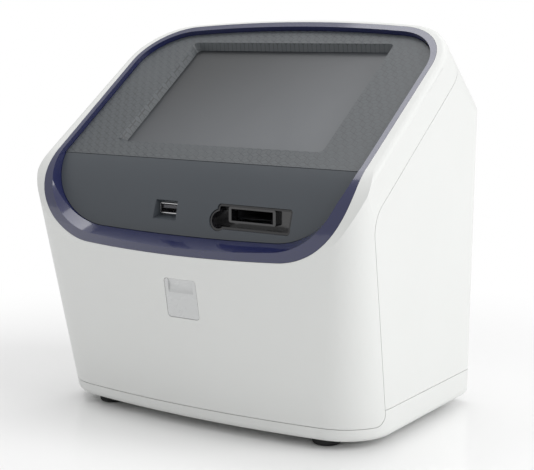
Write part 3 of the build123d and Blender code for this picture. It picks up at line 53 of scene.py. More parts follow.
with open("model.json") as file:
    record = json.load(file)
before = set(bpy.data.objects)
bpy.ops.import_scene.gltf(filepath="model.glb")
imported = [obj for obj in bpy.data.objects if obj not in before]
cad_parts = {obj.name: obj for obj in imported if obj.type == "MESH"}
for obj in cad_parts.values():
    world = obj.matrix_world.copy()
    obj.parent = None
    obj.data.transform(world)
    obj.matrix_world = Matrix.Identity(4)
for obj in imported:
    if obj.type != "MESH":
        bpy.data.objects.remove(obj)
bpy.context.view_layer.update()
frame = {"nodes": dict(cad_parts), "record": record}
BODY_OF = {node: body for body, nodes in frame["record"]["behaviour"]["bodies"].items() for node in nodes}
SLOT_OF = {row["node"]: row["material_slot"] for row in frame["record"]["subparts"]}


class Axis3(Enum):
    """Directions that rows of pieces point in."""

    UP = (0.0, 0.0, 1.0)
    BACK = (0.0, 1.0, 0.0)
    FRONT = (0.0, -1.0, 0.0)
    RIGHT = (1.0, 0.0, 0.0)
    OUT_OF_SLOPE = (0.0, -math.sin(SLOPE_ANGLE), math.cos(SLOPE_ANGLE))

    @property
    def vector(self) -> Vector:
        """The direction as a vector."""
        return Vector(self.value)


class Relief(Enum):
    """Shader groups that give a surface its height and its mask."""

    GRAIN = "moulded_grain"
    CUBES = "cube_lines"
    BRUSHED = "brushed_streaks"
    HANDLING = "handling_marks"
    TRACES = "board_traces"
    CASTING = "cast_skin"


# Node graph helpers

class NodeGraph:
    """A node tree with short calls for adding and joining nodes."""

    def __init__(self, tree: bpy.types.NodeTree) -> None:
        """Keeps the tree.

        Args:
            tree: The node tree that is built.
        """
        self.tree = tree

    def add(self, kind: str, values: Optional[dict[Any, Any]] = None, **settings: Any) -> bpy.types.Node:
        """Adds a node.

        Args:
            kind: Blender's name of the node type.
            values: Plain values or sockets for its inputs, by name or number.
            settings: Properties of the node itself.

        Returns:
            The new node.
        """
        node = self.tree.nodes.new(kind)
        for key, value in settings.items():
            setattr(node, key, value)
        for key, value in (values or {}).items():
            if isinstance(value, bpy.types.NodeSocket):
                self.tree.links.new(value, node.inputs[key])
            else:
                node.inputs[key].default_value = value
        return node

    def math(self, operation: str, *values: Any, clamp: bool = False) -> bpy.types.NodeSocket:
        """Adds a math node and gives its result.

        Args:
            operation: Blender's name of the operation.
            values: Up to three numbers or sockets.
            clamp: Keeps the result between 0 and 1.

        Returns:
            The output socket.
        """
        node = self.add("ShaderNodeMath", dict(enumerate(values)), operation=operation, use_clamp=clamp)
        return node.outputs[0]


class ShaderGraph(NodeGraph):
    """A shader tree."""

    def blend(self, factor: Any, low: Any, high: Any) -> bpy.types.NodeSocket:
        """Mixes two colours.

        Args:
            factor: Share of the second colour.
            low: First colour or socket.
            high: Second colour or socket.

        Returns:
            The colour socket.
        """
        node = self.add("ShaderNodeMix", data_type="RGBA")
        for key, value in ((0, factor), (6, low), (7, high)):
            if isinstance(value, bpy.types.NodeSocket):
                self.tree.links.new(value, node.inputs[key])
            else:
                node.inputs[key].default_value = value
        return node.outputs[2]

    def ramp(self, value: bpy.types.NodeSocket, low: float, high: float) -> bpy.types.NodeSocket:
        """Maps a value from low..high to 0..1, with soft ends.

        Args:
            value: The socket that is mapped.
            low: Value that gives 0.
            high: Value that gives 1.

        Returns:
            The mapped socket.
        """
        node = self.add("ShaderNodeMapRange", {0: value, 1: low, 2: high}, interpolation_type="SMOOTHSTEP")
        return node.outputs[0]


class ReliefLibrary:
    """Builds each shader group once and hands it out."""

    smear_band: ClassVar[tuple[float, float]] = (0.42, 0.68)
    dust_band: ClassVar[tuple[float, float]] = (0.045, 0.0)
    dust_density: ClassVar[float] = 9.0
    via_band: ClassVar[tuple[float, float]] = (0.16, 0.12)
    via_density: ClassVar[float] = 0.55
    _made: ClassVar[dict[Relief, bpy.types.NodeTree]] = {}

    @classmethod
    def get(cls, relief: Relief) -> bpy.types.NodeTree:
        """Gives the group, built at its first use.

        Args:
            relief: Which group.

        Returns:
            The shader node tree.
        """
        if relief not in cls._made:
            tree = bpy.data.node_groups.new(relief.value, "ShaderNodeTree")
            getattr(cls, "_build_" + relief.name.lower())(tree)
            cls._made[relief] = tree
        return cls._made[relief]

    @staticmethod
    def _sockets(tree: bpy.types.NodeTree, inputs: Sequence[tuple[str, str, Any]],
                 outputs: Sequence[str]) -> tuple[ShaderGraph, bpy.types.Node, bpy.types.Node]:
        """Makes the interface of a group.

        Args:
            tree: The group.
            inputs: Name, kind and first value of each input.
            outputs: Names of the value outputs.

        Returns:
            The graph, its input node and its output node.
        """
        for name, kind, value in inputs:
            socket = tree.interface.new_socket(name=name, in_out="INPUT", socket_type=kind)
            if value is not None:
                socket.default_value = value
        for name in outputs:
            tree.interface.new_socket(name=name, in_out="OUTPUT", socket_type="NodeSocketFloat")
        graph = ShaderGraph(tree)
        return graph, graph.add("NodeGroupInput"), graph.add("NodeGroupOutput")

    @classmethod
    def _build_grain(cls, tree: bpy.types.NodeTree) -> None:
        """Fine spark grain of a moulded surface, with a slow mottle.

        Args:
            tree: The empty group.
        """
        graph, gin, gout = cls._sockets(tree, [("Vector", "NodeSocketVector", None),
                                               ("Grain size", "NodeSocketFloat", 0.0006),
                                               ("Mottle size", "NodeSocketFloat", 0.06)],
                                        ["Height", "Mottle"])
        place = gin.outputs["Vector"]
        fine = graph.math("DIVIDE", 1.0, gin.outputs["Grain size"])
        slow = graph.math("DIVIDE", 1.0, gin.outputs["Mottle size"])
        grain = graph.add("ShaderNodeTexNoise", {"Vector": place, "Scale": fine, "Detail": 2.0})
        mottle = graph.add("ShaderNodeTexNoise", {"Vector": place, "Scale": slow, "Detail": 3.0})
        tree.links.new(grain.outputs[0], gout.inputs["Height"])
        tree.links.new(mottle.outputs[0], gout.inputs["Mottle"])

    @classmethod
    def _build_cubes(cls, tree: bpy.types.NodeTree) -> None:
        """Fine lines of a common tumbling block tiling, from flat coordinates in metres.

        Args:
            tree: The empty group.
        """
        graph, gin, gout = cls._sockets(tree, [("Vector", "NodeSocketVector", None),
                                               ("Tile", "NodeSocketFloat", 0.0046),
                                               ("Line width", "NodeSocketFloat", 0.00022)],
                                        ["Lines", "Shade"])
        parts = graph.add("ShaderNodeSeparateXYZ", {0: gin.outputs["Vector"]})
        tile = gin.outputs["Tile"]
        height = graph.math("MULTIPLY", tile, 2 * HEX_RISE)
        cells = []
        for shift in (0.0, 0.5):
            u = graph.math("ADD", graph.math("DIVIDE", parts.outputs[0], tile), shift)
            v = graph.math("ADD", graph.math("DIVIDE", parts.outputs[1], height), shift)
            x = graph.math("MULTIPLY", graph.math("SUBTRACT", graph.math("FRACT", u), 0.5), tile)
            y = graph.math("MULTIPLY", graph.math("SUBTRACT", graph.math("FRACT", v), 0.5), height)
            squares = graph.math("ADD", graph.math("MULTIPLY", x, x), graph.math("MULTIPLY", y, y))
            cells.append((x, y, graph.math("SQRT", squares)))
        nearer = graph.math("LESS_THAN", cells[0][2], cells[1][2])
        other = graph.math("SUBTRACT", 1.0, nearer)
        x, y = (graph.math("ADD", graph.math("MULTIPLY", nearer, cells[0][i]),
                           graph.math("MULTIPLY", other, cells[1][i])) for i in range(2))
        flat = graph.math("ABSOLUTE", x)
        slanted = graph.math("ADD", graph.math("MULTIPLY", graph.math("ABSOLUTE", x), 0.5),
                             graph.math("MULTIPLY", graph.math("ABSOLUTE", y), HEX_RISE))
        reach = graph.math("MAXIMUM", flat, slanted)
        rim = graph.math("SUBTRACT", graph.math("MULTIPLY", tile, 0.5), reach)
        below = graph.math("LESS_THAN", y, 0.0)
        spoke_down = graph.math("ADD", flat, graph.math("MULTIPLY", graph.math("SUBTRACT", 1.0, below), 1.0))
        arm = graph.math("ABSOLUTE", graph.math("SUBTRACT", graph.math("MULTIPLY", flat, 0.5),
                                                graph.math("MULTIPLY", y, HEX_RISE)))
        spoke_up = graph.math("ADD", arm, graph.math("MULTIPLY", below, 1.0))
        near = graph.math("MINIMUM", rim, graph.math("MINIMUM", spoke_down, spoke_up))
        width = gin.outputs["Line width"]
        line = graph.add("ShaderNodeMapRange", {0: near, 1: graph.math("MULTIPLY", width, 0.5), 2: width,
                                                3: 1.0, 4: 0.0}, interpolation_type="SMOOTHSTEP")
        upper = graph.math("GREATER_THAN", graph.math("MULTIPLY", y, HEX_RISE),
                           graph.math("MULTIPLY", flat, 0.5))
        right = graph.math("MULTIPLY", graph.math("GREATER_THAN", x, 0.0), 0.5)
        tree.links.new(line.outputs[0], gout.inputs["Lines"])
        tree.links.new(graph.math("MAXIMUM", upper, right), gout.inputs["Shade"])

    @classmethod
    def _build_brushed(cls, tree: bpy.types.NodeTree) -> None:
        """Long fine streaks along one axis of metal.

        Args:
            tree: The empty group.
        """
        inputs = [("Vector", "NodeSocketVector", None),
                  ("Stretch", "NodeSocketVector", (40.0, 3000.0, 3000.0))]
        graph, gin, gout = cls._sockets(tree, inputs, ["Height", "Tone"])
        place = gin.outputs["Vector"]
        scaled = graph.add("ShaderNodeVectorMath", {0: place, 1: gin.outputs["Stretch"]},
                           operation="MULTIPLY")
        streak = graph.add("ShaderNodeTexNoise", {"Vector": scaled.outputs[0], "Scale": 1.0, "Detail": 4.0})
        tone = graph.add("ShaderNodeTexNoise", {"Vector": place, "Scale": 90.0, "Detail": 2.0})
        tree.links.new(streak.outputs[0], gout.inputs["Height"])
        tree.links.new(tone.outputs[0], gout.inputs["Tone"])

    @classmethod
    def _build_handling(cls, tree: bpy.types.NodeTree) -> None:
        """Faint wipe marks and dust that change the gloss.

        Args:
            tree: The empty group.
        """
        graph, gin, gout = cls._sockets(tree, [("Vector", "NodeSocketVector", None),
                                               ("Mark size", "NodeSocketFloat", 0.02)], ["Smear", "Dust"])
        scale = graph.math("DIVIDE", 1.0, gin.outputs["Mark size"])
        smear = graph.add("ShaderNodeTexNoise", {"Vector": gin.outputs["Vector"], "Scale": scale,
                                                 "Detail": 5.0, "Roughness": 0.65, "Distortion": 0.8})
        spots = graph.add("ShaderNodeTexVoronoi", {"Vector": gin.outputs["Vector"],
                                                   "Scale": graph.math("MULTIPLY", scale, cls.dust_density)})
        tree.links.new(graph.ramp(smear.outputs[0], *cls.smear_band), gout.inputs["Smear"])
        tree.links.new(graph.ramp(spots.outputs["Distance"], *cls.dust_band), gout.inputs["Dust"])

    @classmethod
    def _build_traces(cls, tree: bpy.types.NodeTree) -> None:
        """Copper traces and vias of a circuit board in the X-Z plane.

        Args:
            tree: The empty group.
        """
        graph, gin, gout = cls._sockets(tree, [("Vector", "NodeSocketVector", None),
                                               ("Pitch", "NodeSocketFloat", 0.0025)], ["Trace", "Via"])
        scale = graph.math("DIVIDE", 1.0, gin.outputs["Pitch"])
        turned = graph.add("ShaderNodeMapping", {"Vector": gin.outputs["Vector"],
                                                 "Rotation": (math.pi / 2, 0.0, 0.0)})
        brick = graph.add("ShaderNodeTexBrick", {"Vector": turned.outputs[0], "Scale": scale,
                                                 "Mortar Size": 0.09, "Brick Width": 3.6, "Row Height": 0.9})
        via = graph.add("ShaderNodeTexVoronoi", {"Vector": turned.outputs[0],
                                                 "Scale": graph.math("MULTIPLY", scale, cls.via_density)})
        tree.links.new(brick.outputs["Fac"], gout.inputs["Trace"])
        tree.links.new(graph.ramp(via.outputs["Distance"], *cls.via_band), gout.inputs["Via"])

    @classmethod
    def _build_casting(cls, tree: bpy.types.NodeTree) -> None:
        """Dull orange peel of a casting.

        Args:
            tree: The empty group.
        """
        graph, gin, gout = cls._sockets(tree, [("Vector", "NodeSocketVector", None),
                                               ("Pit size", "NodeSocketFloat", 0.0018)], ["Height", "Tone"])
        scale = graph.math("DIVIDE", 1.0, gin.outputs["Pit size"])
        cells = graph.add("ShaderNodeTexVoronoi", {"Vector": gin.outputs["Vector"], "Scale": scale},
                          feature="SMOOTH_F1")
        tone = graph.add("ShaderNodeTexNoise", {"Vector": gin.outputs["Vector"], "Scale": 60.0,
                                                "Detail": 4.0})
        tree.links.new(cells.outputs["Distance"], gout.inputs["Height"])
        tree.links.new(tone.outputs[0], gout.inputs["Tone"])


# Finishes

Colour = tuple[float, float, float]


def rgba(colour: Colour, gain: float = 1.0) -> tuple[float, float, float, float]:
    """A colour with its alpha, made lighter or darker.

    Args:
        colour: Linear red, green and blue.
        gain: Factor on all three.

    Returns:
        Four numbers.
    """
    return (*(min(1.0, c * gain) for c in colour), 1.0)


@dataclass(frozen=True)
class Finish:
    """A surface finish that makes its own material."""

    name: str
    colour: Colour
    roughness: float = 0.45

    def start(self, metallic: float = 0.0) -> tuple[bpy.types.Material, ShaderGraph, bpy.types.Node,
                                                    bpy.types.NodeSocket]:
        """Makes the material with its shader and its object coordinates.

        Args:
            metallic: How much of a metal it is.

        Returns:
            Material, graph, shader node and coordinate socket.
        """
        material = bpy.data.materials.new(self.name)
        material.use_nodes = True
        graph = ShaderGraph(material.node_tree)
        shader = material.node_tree.nodes["Principled BSDF"]
        shader.inputs["Base Color"].default_value = rgba(self.colour)
        shader.inputs["Metallic"].default_value = metallic
        shader.inputs["Roughness"].default_value = self.roughness
        place = graph.add("ShaderNodeTexCoord").outputs["Object"]
        return material, graph, shader, place

    @staticmethod
    def use(graph: ShaderGraph, relief: Relief, place: bpy.types.NodeSocket, **values: Any) -> bpy.types.Node:
        """Places a shared group.

        Args:
            graph: The material's graph.
            relief: Which group.
            place: Coordinates for it.
            values: Its other inputs, with spaces written as underscores.

        Returns:
            The group node.
        """
        node = graph.add("ShaderNodeGroup", node_tree=ReliefLibrary.get(relief))
        graph.tree.links.new(place, node.inputs["Vector"])
        for key, value in values.items():
            node.inputs[key.replace("_", " ")].default_value = value
        return node

    @staticmethod
    def raise_height(graph: ShaderGraph, shader: bpy.types.Node, height: bpy.types.NodeSocket, depth: float,
                     strength: float = 1.0) -> None:
        """Turns a height into the shader's normal.

        Args:
            graph: The material's graph.
            shader: The shader node.
            height: Height from 0 to 1.
            depth: What a height of 1 stands for, in metres.
            strength: How much of it is used.
        """
        bump = graph.add("ShaderNodeBump", {"Strength": strength, "Distance": depth, "Height": height})
        graph.tree.links.new(bump.outputs[0], shader.inputs["Normal"])

    def build(self) -> bpy.types.Material:
        """Makes the material."""
        raise NotImplementedError


@dataclass(frozen=True)
class MouldedPlastic(Finish):
    """Moulded plastic: fine grain, slow mottle, wipe marks and an optional clear gloss."""

    grain: float = 0.0006
    grain_depth: float = 0.00002
    mottle: float = 0.03
    coat: float = 0.0
    coat_roughness: float = 0.06
    marks: float = 0.08
    dust: float = 0.05
    dust_colour: Colour = (0.5, 0.5, 0.48)
    bump: float = 0.6

    def build(self) -> bpy.types.Material:
        """Makes the material.

        Returns:
            The material.
        """
        material, graph, shader, place = self.start()
        skin = self.use(graph, Relief.GRAIN, place, Grain_size=self.grain)
        worn = self.use(graph, Relief.HANDLING, place)
        mixed = graph.blend(skin.outputs["Mottle"], rgba(self.colour, 1 - self.mottle),
                            rgba(self.colour, 1 + self.mottle))
        dust = graph.math("MULTIPLY", worn.outputs["Dust"], self.dust)
        dusty = graph.blend(dust, mixed, rgba(self.dust_colour))
        graph.tree.links.new(dusty, shader.inputs["Base Color"])
        rough = graph.math("MULTIPLY_ADD", worn.outputs["Smear"], self.marks, self.roughness, clamp=True)
        graph.tree.links.new(rough, shader.inputs["Roughness"])
        shader.inputs["Coat Weight"].default_value = self.coat
        shader.inputs["Coat Roughness"].default_value = self.coat_roughness
        self.raise_height(graph, shader, skin.outputs["Height"], self.grain_depth, self.bump)
        return material


@dataclass(frozen=True)
class LinedPlastic(Finish):
    """Slate plastic with a fine line tiling that lies flat on the slope."""

    line_colour: Colour = (0.022, 0.025, 0.030)
    tile: float = 0.0062
    line: float = 0.00026
    grain: float = 0.0005
    patch_band: tuple[float, float] = (0.30, 0.62)
    block_tones: tuple[float, float] = (0.93, 1.10)
    block_share: float = 0.5
    line_share: tuple[float, float] = (0.42, 0.45)
    line_gloss: float = -0.12
    grain_share: float = 0.25
    depth: float = 0.00006
    bump: float = 0.5

    def build(self) -> bpy.types.Material:
        """Makes the material.

        Returns:
            The material.
        """
        material, graph, shader, place = self.start()
        laid = graph.add("ShaderNodeMapping", {"Vector": place, "Rotation": (-SLOPE_ANGLE, 0.0, 0.0)})
        cubes = self.use(graph, Relief.CUBES, laid.outputs[0], Tile=self.tile, Line_width=self.line)
        skin = self.use(graph, Relief.GRAIN, place, Grain_size=self.grain)
        patch = graph.ramp(skin.outputs["Mottle"], *self.patch_band)
        dark, light = (rgba(self.colour, tone) for tone in self.block_tones)
        shade = graph.blend(graph.math("MULTIPLY", cubes.outputs["Shade"], self.block_share), dark, light)
        least, more = self.line_share
        share = graph.math("MULTIPLY", cubes.outputs["Lines"], graph.math("MULTIPLY_ADD", patch, more, least))
        graph.tree.links.new(graph.blend(share, shade, rgba(self.line_colour)), shader.inputs["Base Color"])
        rough = graph.math("MULTIPLY_ADD", cubes.outputs["Lines"], self.line_gloss, self.roughness,
                           clamp=True)
        graph.tree.links.new(rough, shader.inputs["Roughness"])
        height = graph.math("MULTIPLY_ADD", cubes.outputs["Lines"], -1.0,
                            graph.math("MULTIPLY", skin.outputs["Height"], self.grain_share))
        self.raise_height(graph, shader, height, self.depth, self.bump)
        return material


@dataclass(frozen=True)
class BrushedMetal(Finish):
    """Metal with fine streaks along one axis."""

    stretch: tuple[float, float, float] = (60.0, 2600.0, 2600.0)
    tones: tuple[float, float] = (0.86, 1.06)
    mark_size: float = 0.008
    marks: float = 0.14
    depth: float = 0.000012
    bump: float = 0.5

    def build(self) -> bpy.types.Material:
        """Makes the material.

        Returns:
            The material.
        """
        material, graph, shader, place = self.start(metallic=1.0)
        streaks = self.use(graph, Relief.BRUSHED, place, Stretch=self.stretch)
        worn = self.use(graph, Relief.HANDLING, place, Mark_size=self.mark_size)
        dark, light = (rgba(self.colour, tone) for tone in self.tones)
        graph.tree.links.new(graph.blend(streaks.outputs["Tone"], dark, light), shader.inputs["Base Color"])
        rough = graph.math("MULTIPLY_ADD", worn.outputs["Smear"], self.marks, self.roughness, clamp=True)
        graph.tree.links.new(rough, shader.inputs["Roughness"])
        self.raise_height(graph, shader, streaks.outputs["Height"], self.depth, self.bump)
        return material


@dataclass(frozen=True)
class CastMetal(Finish):
    """Cast light metal with a dull, lightly pitted skin."""

    metallic: float = 0.9
    tones: tuple[float, float] = (0.82, 1.08)
    dullness: float = 0.2
    depth: float = 0.00005
    bump: float = 0.6

    def build(self) -> bpy.types.Material:
        """Makes the material.

        Returns:
            The material.
        """
        material, graph, shader, place = self.start(metallic=self.metallic)
        skin = self.use(graph, Relief.CASTING, place)
        dark, light = (rgba(self.colour, tone) for tone in self.tones)
        graph.tree.links.new(graph.blend(skin.outputs["Tone"], dark, light), shader.inputs["Base Color"])
        rough = graph.math("MULTIPLY_ADD", skin.outputs["Tone"], self.dullness, self.roughness, clamp=True)
        graph.tree.links.new(rough, shader.inputs["Roughness"])
        self.raise_height(graph, shader, skin.outputs["Height"], self.depth, self.bump)
        return material


@dataclass(frozen=True)
class CircuitBoard(Finish):
    """Solder mask over copper traces, with plated vias."""

    copper: Colour = (0.10, 0.24, 0.13)
    via: Colour = (0.75, 0.60, 0.30)
    depth: float = 0.00003
    bump: float = 0.6

    def build(self) -> bpy.types.Material:
        """Makes the material.

        Returns:
            The material.
        """
        material, graph, shader, place = self.start()
        lines = self.use(graph, Relief.TRACES, place)
        mask = graph.blend(lines.outputs["Trace"], rgba(self.colour), rgba(self.copper))
        plated = graph.blend(lines.outputs["Via"], mask, rgba(self.via))
        graph.tree.links.new(plated, shader.inputs["Base Color"])
        graph.tree.links.new(lines.outputs["Via"], shader.inputs["Metallic"])
        self.raise_height(graph, shader, lines.outputs["Trace"], self.depth, self.bump)
        return material


@dataclass(frozen=True)
class ScreenGlass(Finish):
    """Anti-glare touch glass over a dark panel, with a painted reflection that pales it down the slope."""

    # Colour of the painted reflection of the lamps, that the glass pales towards.
    glow: Colour = (0.115, 0.125, 0.138)
    grain: float = 0.0004
    mottle_size: float = 0.09
    mottle: float = 0.25
    mark_size: float = 0.045
    marks: float = 0.05
    side_fall: float = -0.35
    rise_band: tuple[float, float] = (0.235, 0.135)
    depth: float = 0.000006
    bump: float = 0.5

    def build(self) -> bpy.types.Material:
        """Makes the material.

        Returns:
            The material.
        """
        material, graph, shader, place = self.start()
        skin = self.use(graph, Relief.GRAIN, place, Grain_size=self.grain, Mottle_size=self.mottle_size)
        worn = self.use(graph, Relief.HANDLING, place, Mark_size=self.mark_size)
        axes = graph.add("ShaderNodeSeparateXYZ", {0: place})
        # Painted reflection: the glass pales down the slope and towards +X, from its own colour to the
        # reflection colour.
        rise = graph.math("MULTIPLY_ADD", axes.outputs[0], self.side_fall, axes.outputs[2])
        painted_sheen = graph.blend(graph.ramp(rise, *self.rise_band), rgba(self.colour), rgba(self.glow))
        mottle = graph.math("MULTIPLY", skin.outputs["Mottle"], self.mottle)
        graph.tree.links.new(graph.blend(mottle, painted_sheen, rgba(self.colour)), shader.inputs["Base Color"])
        rough = graph.math("MULTIPLY_ADD", worn.outputs["Smear"], self.marks, self.roughness, clamp=True)
        graph.tree.links.new(rough, shader.inputs["Roughness"])
        self.raise_height(graph, shader, skin.outputs["Height"], self.depth, self.bump)
        return material


@dataclass(frozen=True)
class LensGlass(Finish):
    """Coated lens glass."""

    transmission: float = 0.85
    ior: float = 1.52
    mark_size: float = 0.01
    haze: float = 0.06
    dust_colour: Colour = (0.9, 0.9, 0.95)

    def build(self) -> bpy.types.Material:
        """Makes the material.

        Returns:
            The material.
        """
        material, graph, shader, place = self.start()
        worn = self.use(graph, Relief.HANDLING, place, Mark_size=self.mark_size)
        shader.inputs["Transmission Weight"].default_value = self.transmission
        shader.inputs["IOR"].default_value = self.ior
        haze = graph.math("MULTIPLY", worn.outputs["Smear"], self.haze)
        graph.tree.links.new(haze, shader.inputs["Roughness"])
        tint = graph.blend(worn.outputs["Dust"], rgba(self.colour), rgba(self.dust_colour))
        graph.tree.links.new(tint, shader.inputs["Base Color"])
        return material


@dataclass(frozen=True)
class MirrorCoat(Finish):
    """Front surface mirror with a faint haze."""

    mark_size: float = 0.006
    haze: float = 0.04
    dust_tone: float = 0.9

    def build(self) -> bpy.types.Material:
        """Makes the material.

        Returns:
            The material.
        """
        material, graph, shader, place = self.start(metallic=1.0)
        worn = self.use(graph, Relief.HANDLING, place, Mark_size=self.mark_size)
        haze = graph.math("MULTIPLY_ADD", worn.outputs["Smear"], self.haze, self.roughness)
        graph.tree.links.new(haze, shader.inputs["Roughness"])
        tint = graph.blend(worn.outputs["Dust"], rgba(self.colour), rgba(self.colour, self.dust_tone))
        graph.tree.links.new(tint, shader.inputs["Base Color"])
        return material


FINISHES: tuple[Finish, ...] = (
    MouldedPlastic("case_plastic", (0.79, 0.80, 0.785), 0.42, grain=0.0005, mottle=0.012),
    MouldedPlastic("base_plastic", (0.79, 0.80, 0.785), 0.45, grain=0.0005, mottle=0.012),
    MouldedPlastic("trim_gloss", (0.010, 0.014, 0.075), 0.20, grain_depth=0.000003, coat=1.0, marks=0.05),
    LinedPlastic("bezel_slate", (0.078, 0.088, 0.096), 0.42),
    MouldedPlastic("fascia_slate", (0.070, 0.080, 0.092), 0.36, grain=0.0005, mottle=0.05),
    MouldedPlastic("port_black", (0.010, 0.010, 0.012), 0.16, grain_depth=0.000004, coat=0.8),
    MouldedPlastic("badge_grey", (0.66, 0.67, 0.67), 0.25, coat=0.6, mottle=0.02),
    ScreenGlass("touch_glass", (0.020, 0.022, 0.025), 0.30),
    MouldedPlastic("display_grey", (0.02, 0.02, 0.024), 0.5),
    BrushedMetal("sheet_steel", (0.62, 0.62, 0.63), 0.24),
    BrushedMetal("screw_steel", (0.50, 0.50, 0.52), 0.30, stretch=(2600.0, 60.0, 2600.0)),
    MouldedPlastic("rubber", (0.018, 0.018, 0.019), 0.75, grain=0.0009, grain_depth=0.00005),
    CastMetal("frame_metal", (0.60, 0.61, 0.62), 0.42),
    CastMetal("black_metal", (0.022, 0.022, 0.025), 0.40, metallic=0.6),
    LensGlass("optic_glass", (0.80, 0.90, 0.98), 0.02),
    MirrorCoat("mirror", (0.88, 0.89, 0.90), 0.02),
    CircuitBoard("circuit", (0.012, 0.11, 0.045), 0.38),
    MouldedPlastic("chip_black", (0.015, 0.015, 0.017), 0.55, grain_depth=0.00004),
    MouldedPlastic("usb_insulator", (0.10, 0.10, 0.11), 0.5),
    MouldedPlastic("guide_plastic", (0.035, 0.036, 0.040), 0.5),
    BrushedMetal("contact_gold", (0.83, 0.62, 0.26), 0.25, stretch=(60.0, 2600.0, 60.0)),
)


class FinishShelf:
    """Every material, built once and found by the record's slot name."""

    _made: ClassVar[dict[str, bpy.types.Material]] = {}

    @classmethod
    def get(cls, slot: str) -> bpy.types.Material:
        """Gives the material of a slot.

        Args:
            slot: Name of the slot.

        Returns:
            The material.
        """
        if slot not in cls._made:
            cls._made[slot] = next(f for f in FINISHES if f.name == slot).build()
        return cls._made[slot]


# Mesh helpers

def link(obj: bpy.types.Object) -> bpy.types.Object:
    """Puts an object in the scene and gives it back."""
    bpy.context.scene.collection.objects.link(obj)
    return obj


def smooth(mesh: bpy.types.Mesh, crease_deg: float) -> None:
    """Shades a mesh smooth up to an angle.

    Args:
        mesh: The mesh.
        crease_deg: Edges sharper than this stay sharp.
    """
    mesh.shade_smooth()
    mesh.set_sharp_from_angle(angle=math.radians(crease_deg))


def baked(obj: bpy.types.Object) -> bpy.types.Object:
    """Turns an object with modifiers into a plain mesh object.

    Args:
        obj: The object; it is removed.

    Returns:
        The plain object, with the same name.
    """
    graph = bpy.context.evaluated_depsgraph_get()
    mesh = bpy.data.meshes.new_from_object(obj.evaluated_get(graph), depsgraph=graph)
    name = obj.name
    bpy.data.objects.remove(obj)
    return link(bpy.data.objects.new(name, mesh))


def hand_over(obj: bpy.types.Object, *nodes: str, slot: Optional[str] = None) -> bpy.types.Object:
    """Lets a piece stand for solids, on their body.

    Args:
        obj: The finished piece.
        nodes: The solids that it replaces.
        slot: Not used.

    Returns:
        The piece.
    """
    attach(obj, BODY_OF[nodes[0]])
    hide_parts(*nodes)
    LOG.info("%s stands for %s", obj.name, ", ".join(nodes))
    return obj


def add_on(obj: bpy.types.Object, body: str) -> bpy.types.Object:
    """Puts an extra piece on a body.

    Args:
        obj: The finished piece.
        body: Name of the body.

    Returns:
        The piece.
    """
    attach(obj, body)
    LOG.info("%s rides on %s", obj.name, body)
    return obj


# Geometry node helpers

